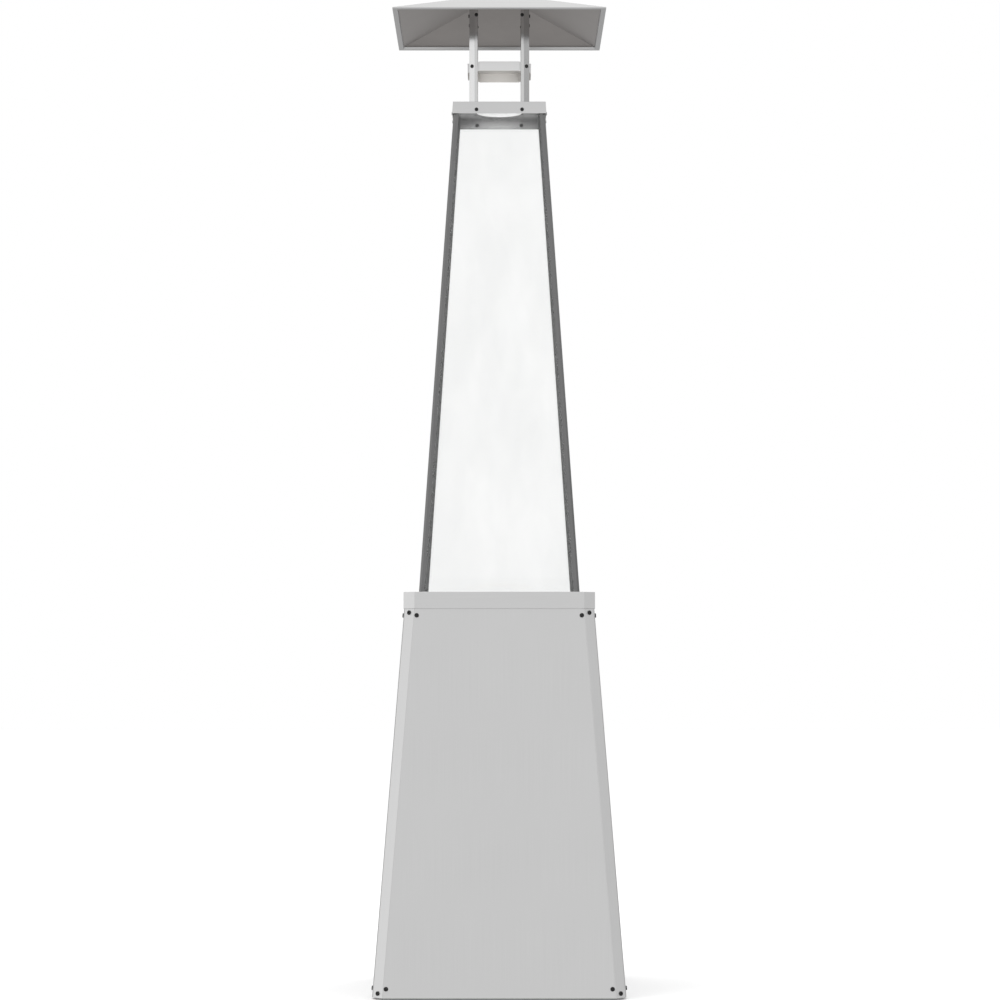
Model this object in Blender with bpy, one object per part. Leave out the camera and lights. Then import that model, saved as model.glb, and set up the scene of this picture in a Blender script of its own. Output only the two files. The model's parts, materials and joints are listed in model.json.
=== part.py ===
"""Free-standing gas patio heater with a glass flame tower.

A tapered square cabinet holds the gas bottle. On its lid stands a burner inside a tower of four
glass panes held by slim corner posts. The tower's cap has a round flue collar, and four short
neck posts above it carry a heat baffle and a shallow pyramid hood.

Metres, +Z up. The origin is on the floor, under the middle of the cabinet. The service side, with
the door and the controls, faces +Y.
"""

import math

import bmesh
import bpy
from mathutils import Matrix, Vector

# ---------------------------------------------------------------- driving dimensions (metres)
GAP = 0.0003  # left between pieces that touch
CUTTER_REACH = 0.01  # how far a cutter stands past the face it cuts

# cabinet: half widths are measured across the flat sides
BASE_HALF = 0.278  # where the sloping sides would meet the floor
SHOULDER_HALF = 0.2079  # where they would meet the top of the lid
CABINET_TOP = 0.890  # top of the lid
CHAMFER = 0.024  # leg of each cut corner
SHEET = 0.0012
FLOOR_GAP = 0.004  # under the panels
COLUMN_WING = 0.026
LID_SKIRT = 0.037
PANEL_TUCK = 0.013  # how far the panels rise inside the lid
FOOT_HEIGHT = 0.012
FOOT_RADIUS = 0.022
FOOT_TOE = 0.002  # bevel at a foot's lower edge
FOOT_INSET = 0.078  # from the cabinet's side at the floor to a foot's centre
TRAY_SHEET = 0.0015
TRAY_FLANGE = 0.030
VENT_LENGTH = 0.110
VENT_WIDTH = 0.014
VENT_OFFSET = 0.195  # from the axis to a vent slot's centre line
BOTTLE_RADIUS = 0.158
BOTTLE_RING_HEIGHT = 0.022

# service side
RAIL_TOP = 0.034  # of the front rail under the door
DOOR_BOTTOM = 0.036
DOOR_TOP = 0.744
DOOR_SEAM = 0.002  # between the door and what is around it
DOOR_FRAME_SIDE = 0.058  # from the door's edge to its stiffening frame
DOOR_FRAME_END = 0.040
DOOR_FRAME_DEPTH = 0.012
DOOR_FRAME_WIDTH = 0.016
HINGE_HEIGHTS = (("lower", 0.150), ("upper", 0.610))
HINGE_LENGTH = 0.060
HINGE_KNUCKLE_SEAM = 0.0005
HINGE_STANDOFF = 0.0046  # from the door's outer face to the hinge axis
HINGE_RADIUS = 0.0040
HINGE_PIN_RADIUS = 0.0019
HINGE_PIN_HEAD_RADIUS = 0.0032
HINGE_PIN_HEAD = 0.0020
HINGE_LEAF = 0.0015
HINGE_LEAF_WIDTH = 0.024
LATCH_HEIGHT = 0.420
LATCH_INSET = 0.038  # from the door's free edge to the latch's axis
LATCH_STEM_RADIUS = 0.0050
LATCH_BARREL_RADIUS = 0.0090
LATCH_BARREL_DEPTH = 0.0040  # behind the door's outer face
LATCH_FLANGE = 0.0030  # how far the barrel's rim stands past its bore
LATCH_FLANGE_HEIGHT = 0.0025
LATCH_GRIP_LENGTH = 0.038
LATCH_GRIP_WIDTH = 0.010
LATCH_GRIP_LOW = 0.0045
LATCH_GRIP_HIGH = 0.0150
LATCH_CAM_WIDTH = 0.016
LATCH_CAM_SHEET = 0.0030
LATCH_CAM_REACH = 0.030
LATCH_CAM_DROP = 0.0052  # from the door's outer face to the cam
CONTROL_HEIGHT = 0.798
KNOB_X = 0.055
IGNITER_X = -0.055
KNOB_RADIUS = 0.021
KNOB_DEPTH = 0.021
KNOB_SKIRT = 0.002  # how far the skirt stands past the knob's body
KNOB_SKIRT_HEIGHT = 0.003
KNOB_DRAFT = 0.002  # how much the body narrows on each of its two tapers
KNOB_BAR_WIDTH = 0.008
KNOB_BAR_RISE = 0.004  # of the grip bar above the crown
KNOB_LIFT = 0.0045  # from the control panel to the knob, more than the push
SPINDLE_RADIUS = 0.0040
SPINDLE_FREE = 0.016  # how far the spindle stands out of the panel
SPINDLE_CLEARANCE = 0.002  # to the hole in the control panel
SPINDLE_SEAT = 0.022  # how far the spindle goes into the valve
SPINDLE_BORE = 0.028
SLEEVE_WALL = 0.004
SLEEVE_LENGTH = 0.008
SLEEVE_LIFT = 0.004  # from the valve to the push sleeve, more than the push
VALVE_FRONT = 0.018  # behind the control panel's face
VALVE_DEPTH = 0.042
VALVE_HALF_WIDTH = 0.020
VALVE_HALF_HEIGHT = 0.022
NIPPLE_RADIUS = 0.0070
NIPPLE_LENGTH = 0.026
NIPPLE_COLLAR = 0.003
NIPPLE_COLLAR_HEIGHT = 0.008
IGNITER_RADIUS = 0.0110
IGNITER_RIM = 0.0035  # how far the rim stands past the barrel
IGNITER_RIM_HEIGHT = 0.0045
IGNITER_RIM_EDGE = 0.0015  # bevel of the rim
IGNITER_DEPTH = 0.045
IGNITER_BORE = 0.030
IGNITER_BUTTON_RADIUS = 0.0075
IGNITER_BUTTON_BACK = 0.018
IGNITER_BUTTON_TOP = 0.0135
IGNITER_BUTTON_EDGE = 0.0015

# burner
PAN_RADIUS = 0.075
PAN_DEPTH = 0.045
PAN_FLANGE = 0.012
HEAD_RADIUS = 0.045
HEAD_TOP_DROP = 0.004  # below the lid's top
HEAD_SHEET = 0.0015
HEAD_EDGE = 0.003  # bevel round the head's top
PORT_RADIUS = 0.0030
PORT_RINGS = ((0.016, 6), (0.031, 12))
MIXER_RADIUS = 0.012
MIXER_WALL = 0.0015
MIXER_BELL_RADIUS = 0.019
MIXER_BELL_HEIGHT = 0.020
MIXER_NECK_HEIGHT = 0.042  # where the bell has narrowed to the tube
MIXER_LENGTH = 0.125
MIXER_RISE = 0.018  # of the tube's end above the pan's floor
JET_RADIUS = 0.0060
JET_LENGTH = 0.034
JET_OVERLAP = 0.006  # how far the jet reaches into the mixer
JET_NOSE = 0.010
JET_SHOULDER = 0.012
BRACKET_HALF = 0.034
BRACKET_STRAP = 0.0020
BRACKET_WIDTH = 0.020
BRACKET_LIFT = 0.006  # from the jet's lower end to the bracket
PIPE_RADIUS = 0.0040
PIPE_STUB = 0.0040  # straight length at each end of the pipe
IGNITION_RADIUS = 0.060  # circle on which the pilot, the electrode and the thermocouple stand
TILT_SWITCH_LOW = (-0.135, 0.050)  # corners of the tilt switch, seen from above
TILT_SWITCH_HIGH = (-0.103, 0.070)
TILT_SWITCH_HEIGHT = 0.028

# glass tower
TOWER_HEIGHT = 1.112  # lid top to cap top
TOWER_FOOT_HALF = 0.1786
TOWER_HEAD_HALF = 0.1018
POST_FACE = 0.0125
POST_CHAMFER = 0.0050
POST_SHEET = 0.0015
GLASS = 0.004
GLASS_TUCK = 0.004  # how far the panes rise inside the cap
CAP_SKIRT = 0.027
CAP_CLEARANCE = 0.0020  # from the posts to the cap's skirt
FLUE_RADIUS = 0.0505
FLUE_FLANGE = 0.009
FLUE_HANG = 0.0077  # from the cap's top to the collar's lower edge

# neck and hood
NECK_HEIGHT = 0.185  # cap top to hood edge
NECK_HALF = 0.0684
NECK_CHAMFER = 0.0125
NECK_WING = 0.0066
NECK_SHEET = 0.0015
BAFFLE_HEIGHT = 0.098  # cap top to baffle top
BAFFLE_FLANGE = 0.0210
BAFFLE_REACH = 0.0040  # past the neck posts' faces
BAFFLE_SEAM = 0.0030  # from the neck posts' wings to the baffle's wide sides
BAFFLE_SHEET = 0.0012
HOOD_HALF = 0.238
HOOD_RISE = 0.083
HOOD_LIP = 0.0030
HOOD_FLANGE = 0.0110
HOOD_SHEET = 0.0012
HOOD_TIP_HALF = 0.0020

ROUND = 40  # sides of a large round piece
SMALL_ROUND = 20  # sides of a small one

# ---------------------------------------------------------------- heights and slopes that follow
CAP_TOP = CABINET_TOP + TOWER_HEIGHT
CAP_BOTTOM = CAP_TOP - CAP_SKIRT
HOOD_EDGE = CAP_TOP + NECK_HEIGHT
LID_BOTTOM = CABINET_TOP - LID_SKIRT
PANEL_TOP = LID_BOTTOM + PANEL_TUCK
CABINET_SLOPE = (BASE_HALF - SHOULDER_HALF) / CABINET_TOP
TOWER_SLOPE = (TOWER_FOOT_HALF - TOWER_HEAD_HALF) / TOWER_HEIGHT
HOOD_SLOPE = (HOOD_RISE - HOOD_LIP) / (HOOD_HALF - HOOD_TIP_HALF)
WING_INSET = SHEET + GAP  # from a panel's outer face to a column's wing

CORNERS = (("front_right", 0), ("front_left", 1), ("rear_left", 2), ("rear_right", 3))


def cabinet_half(z):
    """Half width of the cabinet's outer faces at height z."""
    return BASE_HALF - CABINET_SLOPE * z


def tower_half(z):
    """Half width of the tower posts' outer faces at height z."""
    return TOWER_FOOT_HALF - TOWER_SLOPE * (z - CABINET_TOP)


# ---------------------------------------------------------------- scene and materials
def clear_scene():
    for old in list(bpy.data.objects):
        bpy.data.objects.remove(old)


def make_material(name, colour, roughness, metallic, alpha=1.0):
    material = bpy.data.materials.new(name)
    material.use_nodes = True
    shader = material.node_tree.nodes["Principled BSDF"]
    shader.inputs["Base Color"].default_value = (*colour, 1.0)
    shader.inputs["Roughness"].default_value = roughness
    shader.inputs["Metallic"].default_value = metallic
    shader.inputs["Alpha"].default_value = alpha
    return material


clear_scene()
STEEL = make_material("satin_steel", (0.60, 0.60, 0.60), 0.35, 1.0)
PLATED = make_material("plated_steel", (0.50, 0.50, 0.50), 0.45, 1.0)
POST_PAINT = make_material("dark_post", (0.16, 0.16, 0.165), 0.35, 0.8)
BRASS = make_material("brass", (0.72, 0.53, 0.24), 0.35, 1.0)
COPPER = make_material("copper", (0.72, 0.40, 0.26), 0.35, 1.0)
RUBBER = make_material("rubber", (0.03, 0.03, 0.03), 0.8, 0.0)
BLACK_PLASTIC = make_material("black_plastic", (0.03, 0.03, 0.03), 0.4, 0.0)
CERAMIC = make_material("ceramic", (0.85, 0.83, 0.78), 0.4, 0.0)
CLEAR_GLASS = make_material("clear_glass", (0.9, 0.95, 0.95), 0.02, 0.0, 0.2)


# ---------------------------------------------------------------- outlines, all counter-clockwise
def octagon(half, cut):
    """A square of the given half width with its corners cut off."""
    flat = half - cut
    quadrant = [Vector((half, flat)), Vector((flat, half))]
    return [turned(point, turn) for turn in range(4) for point in quadrant]


def square(half):
    return [turned(Vector((half, half)), turn) for turn in range(4)]


def turned(point, turns):
    """A 2D point turned by quarter turns about the origin."""
    return Matrix.Rotation(turns * math.pi / 2, 2) @ Vector(point)


def inset(outline, distance):
    """The outline moved inwards by a distance, with mitred corners."""
    moved = []
    for i, point in enumerate(outline):
        before = (point - outline[i - 1]).normalized()
        after = (outline[(i + 1) % len(outline)] - point).normalized()
        normal_before = Vector((-before.y, before.x))
        normal_after = Vector((-after.y, after.x))
        mitre = (normal_before + normal_after).normalized()
        moved.append(point + mitre * distance / mitre.dot(normal_after))
    return moved


def corner_angle(half, chamfer, wing, sheet):
    """Section of a folded corner piece: two wings and a chamfer between them, in the +X +Y corner."""
    reach = half - chamfer - wing
    fold = half - chamfer
    outer = [(half, reach), (half, fold), (fold, half), (reach, half)]
    inner_half = half - sheet
    inner_fold = fold - sheet * (math.sqrt(2) - 1)
    inner = [
        (reach, inner_half), (inner_fold, inner_half), (inner_half, inner_fold), (inner_half, reach)
    ]
    return [Vector(point) for point in outer + inner]


def at_height(outline, z):
    return [(point[0], point[1], z) for point in outline]


# ---------------------------------------------------------------- mesh makers
def finish_object(name, mesh_builder, material, smooth=False):
    bmesh.ops.recalc_face_normals(mesh_builder, faces=mesh_builder.faces[:])
    mesh = bpy.data.meshes.new(name)
    mesh_builder.to_mesh(mesh)
    mesh_builder.free()
    if smooth:
        mesh.shade_smooth()
        mesh.set_sharp_from_angle(angle=math.radians(35))
    mesh.materials.append(material)
    thing = bpy.data.objects.new(name, mesh)
    bpy.context.collection.objects.link(thing)
    return thing


def stack(name, rings, material, looped=False):
    """A solid through rings of 3D points. Looped joins the last ring to the first, for a frame."""
    builder = bmesh.new()
    rows = [[builder.verts.new(point) for point in ring] for ring in rings]
    pairs = list(zip(rows, rows[1:]))
    if looped:
        pairs.append((rows[-1], rows[0]))
    else:
        builder.faces.new(rows[0])
        builder.faces.new(rows[-1])
    for low, high in pairs:
        for i, corner in enumerate(low):
            following = (i + 1) % len(low)
            builder.faces.new((corner, low[following], high[following], high[i]))
    return finish_object(name, builder, material)


def spun(name, profile, material, sides=ROUND):
    """A solid of revolution about Z from a closed profile of (radius, height) points."""
    builder = bmesh.new()
    points = [builder.verts.new((radius, 0, height)) for radius, height in profile]
    edges = [builder.edges.new((points[i - 1], points[i])) for i in range(len(points))]
    bmesh.ops.spin(
        builder, geom=points + edges, axis=(0, 0, 1), cent=(0, 0, 0),
        angle=2 * math.pi, steps=sides, use_merge=True,
    )
    bmesh.ops.remove_doubles(builder, verts=builder.verts[:], dist=1e-6)
    bmesh.ops.dissolve_degenerate(builder, edges=builder.edges[:], dist=1e-6)
    return finish_object(name, builder, material, smooth=True)


def rod(name, radius, low, high, material, sides=SMALL_ROUND):
    return spun(name, [(0, low), (radius, low), (radius, high), (0, high)], material, sides)


def block(name, low, high, material):
    """A box from its lowest to its highest corner."""
    outline = [(low[0], low[1]), (high[0], low[1]), (high[0], high[1]), (low[0], high[1])]
    return stack(name, [at_height(outline, low[2]), at_height(outline, high[2])], material)


def hide_tool(tool):
    tool.hide_render = True
    tool.display_type = "WIRE"


def combine(target, tool, operation):
    modifier = target.modifiers.new(operation.lower(), "BOOLEAN")
    modifier.operation = operation
    modifier.object = tool
    hide_tool(tool)


def cut(target, tool):
    combine(target, tool, "DIFFERENCE")


def cut_round(target, name, radius, z):
    """A round hole on the axis through a level sheet near height z."""
    cut(target, rod(name, radius, z - CUTTER_REACH, z + CUTTER_REACH, STEEL, ROUND))


def join(target, tool):
    combine(target, tool, "UNION")


def hang_on(parent, *things):
    for thing in things:
        thing.parent = parent


def make_empty(name, matrix):
    empty = bpy.data.objects.new(name, None)
    empty.empty_display_size = 0.02
    bpy.context.collection.objects.link(empty)
    empty.matrix_world = matrix
    return empty


def turn_to_corner(thing, turns):
    thing.rotation_euler = (0, 0, turns * math.pi / 2)


# ---------------------------------------------------------------- cabinet
def make_foot(name, x, y):
    foot = spun(
        name,
        [(0, 0), (FOOT_RADIUS - FOOT_TOE, 0), (FOOT_RADIUS, FOOT_TOE), (FOOT_RADIUS, FOOT_HEIGHT),
         (0, FOOT_HEIGHT)],
        RUBBER, SMALL_ROUND,
    )
    foot.location = (x, y, 0)


def make_bottom_tray():
    """The plate the gas bottle stands on, with an upturned flange inside the panels."""
    low = FOOT_HEIGHT + GAP
    high = low + TRAY_FLANGE
    clear = 2 * WING_INSET

    def outline(z, extra=0.0):
        return at_height(inset(octagon(cabinet_half(z), CHAMFER), clear + extra), z)

    floor = low + TRAY_SHEET
    tray = stack(
        "bottom_tray", [outline(low), outline(high), outline(high, TRAY_SHEET),
                        outline(floor, TRAY_SHEET)], STEEL,
    )
    for turns in range(4):
        slot = block(
            f"vent_cutter_{turns}",
            (-VENT_LENGTH / 2, VENT_OFFSET - VENT_WIDTH / 2, low - CUTTER_REACH),
            (VENT_LENGTH / 2, VENT_OFFSET + VENT_WIDTH / 2, floor + CUTTER_REACH), STEEL,
        )
        turn_to_corner(slot, turns)
        cut(tray, slot)
    return floor


def make_bottle_ring(floor):
    low = floor + GAP
    high = low + BOTTLE_RING_HEIGHT
    spun(
        "bottle_ring",
        [(BOTTLE_RADIUS, low), (BOTTLE_RADIUS + TRAY_SHEET, low),
         (BOTTLE_RADIUS + TRAY_SHEET, high), (BOTTLE_RADIUS, high)], PLATED,
    )


def make_columns():
    def section(z):
        half = cabinet_half(z) - WING_INSET
        return at_height(corner_angle(half, CHAMFER - 2 * WING_INSET, COLUMN_WING + WING_INSET,
                                      SHEET), z)

    for name, turns in CORNERS:
        column = stack(f"corner_column_{name}", [section(FLOOR_GAP), section(PANEL_TOP)], STEEL)
        turn_to_corner(column, turns)


def face_plate(name, low, high, margin, material):
    """A flat sheet on the +Y face of the cabinet, between two heights."""

    def ring(z):
        half = cabinet_half(z)
        wide = half - CHAMFER - margin
        return at_height([(wide, half - SHEET), (wide, half), (-wide, half), (-wide, half - SHEET)],
                         z)

    return stack(name, [ring(low), ring(high)], material)


def make_panels():
    for name, turns in (("left_panel", 1), ("rear_panel", 2), ("right_panel", 3)):
        panel = face_plate(name, FLOOR_GAP, PANEL_TOP, 0.0, STEEL)
        turn_to_corner(panel, turns)


def make_front_rail():
    face_plate("front_rail", FLOOR_GAP, RAIL_TOP, 0.0, STEEL)


def make_lid():
    outer = inset(octagon(cabinet_half(LID_BOTTOM), CHAMFER), -(GAP + SHEET))
    inner = inset(outer, SHEET)
    lid = stack(
        "cabinet_lid",
        [at_height(outer, CABINET_TOP), at_height(outer, LID_BOTTOM),
         at_height(inner, LID_BOTTOM), at_height(inner, CABINET_TOP - SHEET)], STEEL,
    )
    cut_round(lid, "lid_cutter", PAN_RADIUS + GAP, CABINET_TOP)


# ---------------------------------------------------------------- service side
def face_frame(x, z):
    """Matrix of a point on the +Y face: local Z points out of the face and local Y up along it."""
    lean = math.atan(CABINET_SLOPE)
    outwards = Vector((0, math.cos(lean), math.sin(lean)))
    upwards = Vector((0, -math.sin(lean), math.cos(lean)))
    sideways = upwards.cross(outwards)
    turn = Matrix((sideways, upwards, outwards)).transposed().to_4x4()
    return Matrix.Translation((x, cabinet_half(z), z)) @ turn


def hinge_frame(z):
    """Matrix of a point on the door's hinge: local X runs along the door, Y out of it, Z down."""
    lean = math.atan(CABINET_SLOPE)
    outwards = Vector((0, math.cos(lean), math.sin(lean)))
    downwards = Vector((CABINET_SLOPE, CABINET_SLOPE, -1)).normalized()
    along = outwards.cross(downwards)
    turn = Matrix((along, outwards, downwards)).transposed().to_4x4()
    half = cabinet_half(z)
    corner = Vector((half - CHAMFER, half, z)) + outwards * HINGE_STANDOFF
    return Matrix.Translation(corner) @ turn


def make_door():
    door = face_plate("door_panel", DOOR_BOTTOM, DOOR_TOP - DOOR_SEAM, GAP, STEEL)
    cut_at_face(door, "latch_cutter", latch_frame(), LATCH_BARREL_RADIUS + GAP)

    def ring(extra, depth):
        low = DOOR_BOTTOM + DOOR_FRAME_END + extra
        high = DOOR_TOP - DOOR_SEAM - DOOR_FRAME_END - extra
        corners = []
        for z, side in ((low, 1), (high, 1), (high, -1), (low, -1)):
            half = cabinet_half(z)
            wide = half - CHAMFER - DOOR_FRAME_SIDE - extra
            corners.append((side * wide, half - SHEET - GAP - depth, z))
        return corners

    stack(
        "door_frame",
        [ring(0, 0), ring(0, DOOR_FRAME_DEPTH), ring(DOOR_FRAME_WIDTH, DOOR_FRAME_DEPTH),
         ring(DOOR_FRAME_WIDTH, 0)], STEEL, looped=True,
    )


def latch_frame():
    half = cabinet_half(LATCH_HEIGHT)
    return face_frame(-(half - CHAMFER - LATCH_INSET), LATCH_HEIGHT)


def cut_at_face(plate, name, matrix, radius):
    """A round hole through a sheet of the +Y face."""
    tool = rod(name, radius, -CUTTER_REACH, CUTTER_REACH, STEEL, ROUND)
    tool.matrix_world = matrix
    cut(plate, tool)


def leaf_outline(knuckles):
    """A leaf seen flat, as (distance from the hinge edge, height): full width only at its knuckles."""
    half = HINGE_LENGTH / 2
    clear = HINGE_RADIUS + HINGE_KNUCKLE_SEAM
    points = [(HINGE_LEAF_WIDTH, -half), (HINGE_LEAF_WIDTH, half), (clear, half)]
    for bottom, top in sorted(knuckles, reverse=True):
        points += [(clear, top), (0, top), (0, bottom), (clear, bottom)]
    points.append((clear, -half))
    return [point for i, point in enumerate(points) if point != points[i - 1]]


def hinge_leaf(name, along, away, knuckles, parent):
    """A leaf lying along one of the two sheets, joined to its knuckles."""
    edge = Vector((0, -HINGE_STANDOFF, 0))

    def ring(lift):
        return [edge + along * reach + away * lift + Vector((0, 0, height))
                for reach, height in leaf_outline(knuckles)]

    leaf = stack(name, [ring(GAP), ring(GAP + HINGE_LEAF)], PLATED)
    tools = []
    for i, (bottom, top) in enumerate(knuckles):
        tool = spun(
            f"{name}_knuckle_{i}",
            [(HINGE_PIN_RADIUS + GAP, bottom), (HINGE_RADIUS, bottom), (HINGE_RADIUS, top),
             (HINGE_PIN_RADIUS + GAP, top)], PLATED, SMALL_ROUND,
        )
        join(leaf, tool)
        tools.append(tool)
    hang_on(parent, leaf, *tools)


def make_hinges():
    """Two surface hinges: one leaf on the door, one on the corner column's chamfer."""
    third = HINGE_LENGTH / 6 - HINGE_KNUCKLE_SEAM / 2
    half = HINGE_LENGTH / 2
    inner = third + HINGE_KNUCKLE_SEAM
    on_door = (Vector((1, 0, 0)), Vector((0, 1, 0)))
    on_column = (Vector((-1, -1, 0)).normalized(), Vector((-1, 1, 0)).normalized())
    for name, z in HINGE_HEIGHTS:
        frame = make_empty(f"hinge_axis_{name}", hinge_frame(z))
        hinge_leaf(f"hinge_door_leaf_{name}", *on_door, [(-third, third)], frame)
        hinge_leaf(f"hinge_column_leaf_{name}", *on_column, [(-half, -inner), (inner, half)],
                   frame)
        pin = spun(
            f"hinge_pin_{name}",
            [(0, -half - HINGE_PIN_HEAD), (HINGE_PIN_HEAD_RADIUS, -half - HINGE_PIN_HEAD),
             (HINGE_PIN_HEAD_RADIUS, -half - GAP), (HINGE_PIN_RADIUS, -half - GAP),
             (HINGE_PIN_RADIUS, half), (0, half)], PLATED, SMALL_ROUND,
        )
        hang_on(frame, pin)


def make_latch():
    """A quarter-turn latch: barrel in the door, T handle with its stem, and a cam behind."""
    frame = make_empty("latch_axis", latch_frame())
    bore = LATCH_STEM_RADIUS + GAP
    rim = LATCH_BARREL_RADIUS + LATCH_FLANGE
    barrel = spun(
        "latch_barrel",
        [(bore, -LATCH_BARREL_DEPTH), (LATCH_BARREL_RADIUS, -LATCH_BARREL_DEPTH),
         (LATCH_BARREL_RADIUS, GAP), (rim, GAP), (rim, LATCH_FLANGE_HEIGHT),
         (bore, LATCH_FLANGE_HEIGHT)], PLATED, SMALL_ROUND,
    )
    cam_back = -LATCH_CAM_DROP - LATCH_CAM_SHEET
    grip_middle = (LATCH_GRIP_LOW + LATCH_GRIP_HIGH) / 2
    handle = rod("latch_handle", LATCH_STEM_RADIUS, cam_back - LATCH_CAM_SHEET / 2, grip_middle,
                 BLACK_PLASTIC)
    across, along = LATCH_GRIP_WIDTH / 2, LATCH_GRIP_LENGTH / 2
    grip = block("latch_grip_tool", (-across, -along, LATCH_GRIP_LOW),
                 (across, along, LATCH_GRIP_HIGH), BLACK_PLASTIC)
    join(handle, grip)
    across = LATCH_CAM_WIDTH / 2
    cam = block("latch_cam", (-across, -LATCH_CAM_REACH, cam_back),
                (across, across, -LATCH_CAM_DROP), PLATED)
    hole = rod("latch_cam_cutter", bore, cam_back - CUTTER_REACH, 0, PLATED)
    cut(cam, hole)
    hang_on(frame, barrel, handle, grip, cam, hole)


def make_control_panel():
    panel = face_plate("control_panel", DOOR_TOP, PANEL_TOP, 0.0, STEEL)
    cut_at_face(panel, "spindle_cutter", face_frame(KNOB_X, CONTROL_HEIGHT),
                SPINDLE_RADIUS + SPINDLE_CLEARANCE)
    cut_at_face(panel, "igniter_cutter", face_frame(IGNITER_X, CONTROL_HEIGHT),
                IGNITER_RADIUS + GAP)


def make_gas_control():
    """The gas valve behind the control panel, its spindle, push sleeve and knob."""
    frame = make_empty("knob_axis", face_frame(KNOB_X, CONTROL_HEIGHT))
    back = VALVE_FRONT + VALVE_DEPTH
    body = block("valve_body", (-VALVE_HALF_WIDTH, -VALVE_HALF_HEIGHT, -back),
                 (VALVE_HALF_WIDTH, VALVE_HALF_HEIGHT, -VALVE_FRONT), BRASS)
    bore = rod("valve_cutter", SPINDLE_RADIUS + GAP, -VALVE_FRONT - SPINDLE_BORE, 0, BRASS)
    cut(body, bore)
    spindle = rod("valve_spindle", SPINDLE_RADIUS, -VALVE_FRONT - SPINDLE_SEAT, SPINDLE_FREE, BRASS)
    slip = SPINDLE_RADIUS + GAP
    low = -VALVE_FRONT + SLEEVE_LIFT
    high = low + SLEEVE_LENGTH
    wall = SPINDLE_RADIUS + SLEEVE_WALL
    sleeve = spun("push_sleeve", [(slip, low), (wall, low), (wall, high), (slip, high)], PLATED,
                  SMALL_ROUND)
    base, top = KNOB_LIFT, KNOB_LIFT + KNOB_DEPTH
    skirt, crown = KNOB_RADIUS + KNOB_SKIRT, top - KNOB_BAR_RISE
    knob = spun(
        "gas_knob",
        [(slip, base), (skirt, base), (skirt, base + KNOB_SKIRT_HEIGHT),
         (KNOB_RADIUS, base + KNOB_SKIRT_HEIGHT + KNOB_SKIRT),
         (KNOB_RADIUS - KNOB_DRAFT, crown - KNOB_DRAFT), (KNOB_RADIUS - 2 * KNOB_DRAFT, crown),
         (0, crown), (0, SPINDLE_FREE + GAP), (slip, SPINDLE_FREE + GAP)],
        BLACK_PLASTIC,
    )
    across, along = KNOB_BAR_WIDTH / 2, KNOB_RADIUS - 2 * KNOB_DRAFT
    grip = block("knob_grip_tool", (-across, -along, crown - KNOB_BAR_RISE), (across, along, top),
                 BLACK_PLASTIC)
    join(knob, grip)
    collar = NIPPLE_RADIUS + NIPPLE_COLLAR
    nipple = spun(
        "inlet_nipple",
        [(0, 0), (collar, 0), (collar, NIPPLE_COLLAR_HEIGHT),
         (NIPPLE_RADIUS, NIPPLE_COLLAR_HEIGHT), (NIPPLE_RADIUS, NIPPLE_LENGTH),
         (0, NIPPLE_LENGTH)], BRASS, SMALL_ROUND,
    )
    middle = -VALVE_FRONT - VALVE_DEPTH / 2
    nipple.location = (0, -VALVE_HALF_HEIGHT - GAP, middle)
    nipple.rotation_euler = (math.pi / 2, 0, 0)
    hang_on(frame, body, bore, spindle, sleeve, knob, grip, nipple)
    return frame.matrix_world @ Vector((0, 0, -back - GAP))


def make_igniter():
    """The push-button spark igniter: a barrel through the panel and the button inside it."""
    frame = make_empty("igniter_axis", face_frame(IGNITER_X, CONTROL_HEIGHT))
    bore = IGNITER_BUTTON_RADIUS + GAP
    rim = IGNITER_RADIUS + IGNITER_RIM
    body = spun(
        "igniter_body",
        [(0, -IGNITER_DEPTH), (IGNITER_RADIUS, -IGNITER_DEPTH), (IGNITER_RADIUS, GAP), (rim, GAP),
         (rim, IGNITER_RIM_HEIGHT - IGNITER_RIM_EDGE),
         (rim - IGNITER_RIM_EDGE, IGNITER_RIM_HEIGHT), (bore, IGNITER_RIM_HEIGHT),
         (bore, -IGNITER_BORE), (0, -IGNITER_BORE)], BLACK_PLASTIC, SMALL_ROUND,
    )
    button = spun(
        "igniter_button",
        [(0, -IGNITER_BUTTON_BACK), (IGNITER_BUTTON_RADIUS, -IGNITER_BUTTON_BACK),
         (IGNITER_BUTTON_RADIUS, IGNITER_BUTTON_TOP - IGNITER_BUTTON_EDGE),
         (IGNITER_BUTTON_RADIUS - IGNITER_BUTTON_EDGE, IGNITER_BUTTON_TOP),
         (0, IGNITER_BUTTON_TOP)], BLACK_PLASTIC, SMALL_ROUND,
    )
    hang_on(frame, body, button)


# ---------------------------------------------------------------- burner
PAN_BOTTOM = CABINET_TOP - PAN_DEPTH
PAN_FLOOR = PAN_BOTTOM + SHEET
MIXER_TOP = PAN_FLOOR + MIXER_RISE
MIXER_BOTTOM = MIXER_TOP - MIXER_LENGTH
JET_TOP = MIXER_BOTTOM + JET_OVERLAP
JET_BOTTOM = JET_TOP - JET_LENGTH
HEAD_TOP = CABINET_TOP - HEAD_TOP_DROP


def make_burner_pan():
    flange = CABINET_TOP + GAP
    bore = MIXER_RADIUS + GAP
    spun(
        "burner_pan",
        [(bore, PAN_BOTTOM), (PAN_RADIUS, PAN_BOTTOM), (PAN_RADIUS, flange),
         (PAN_RADIUS + PAN_FLANGE, flange), (PAN_RADIUS + PAN_FLANGE, flange + SHEET),
         (PAN_RADIUS - SHEET, flange + SHEET), (PAN_RADIUS - SHEET, PAN_FLOOR), (bore, PAN_FLOOR)],
        STEEL,
    )


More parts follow.
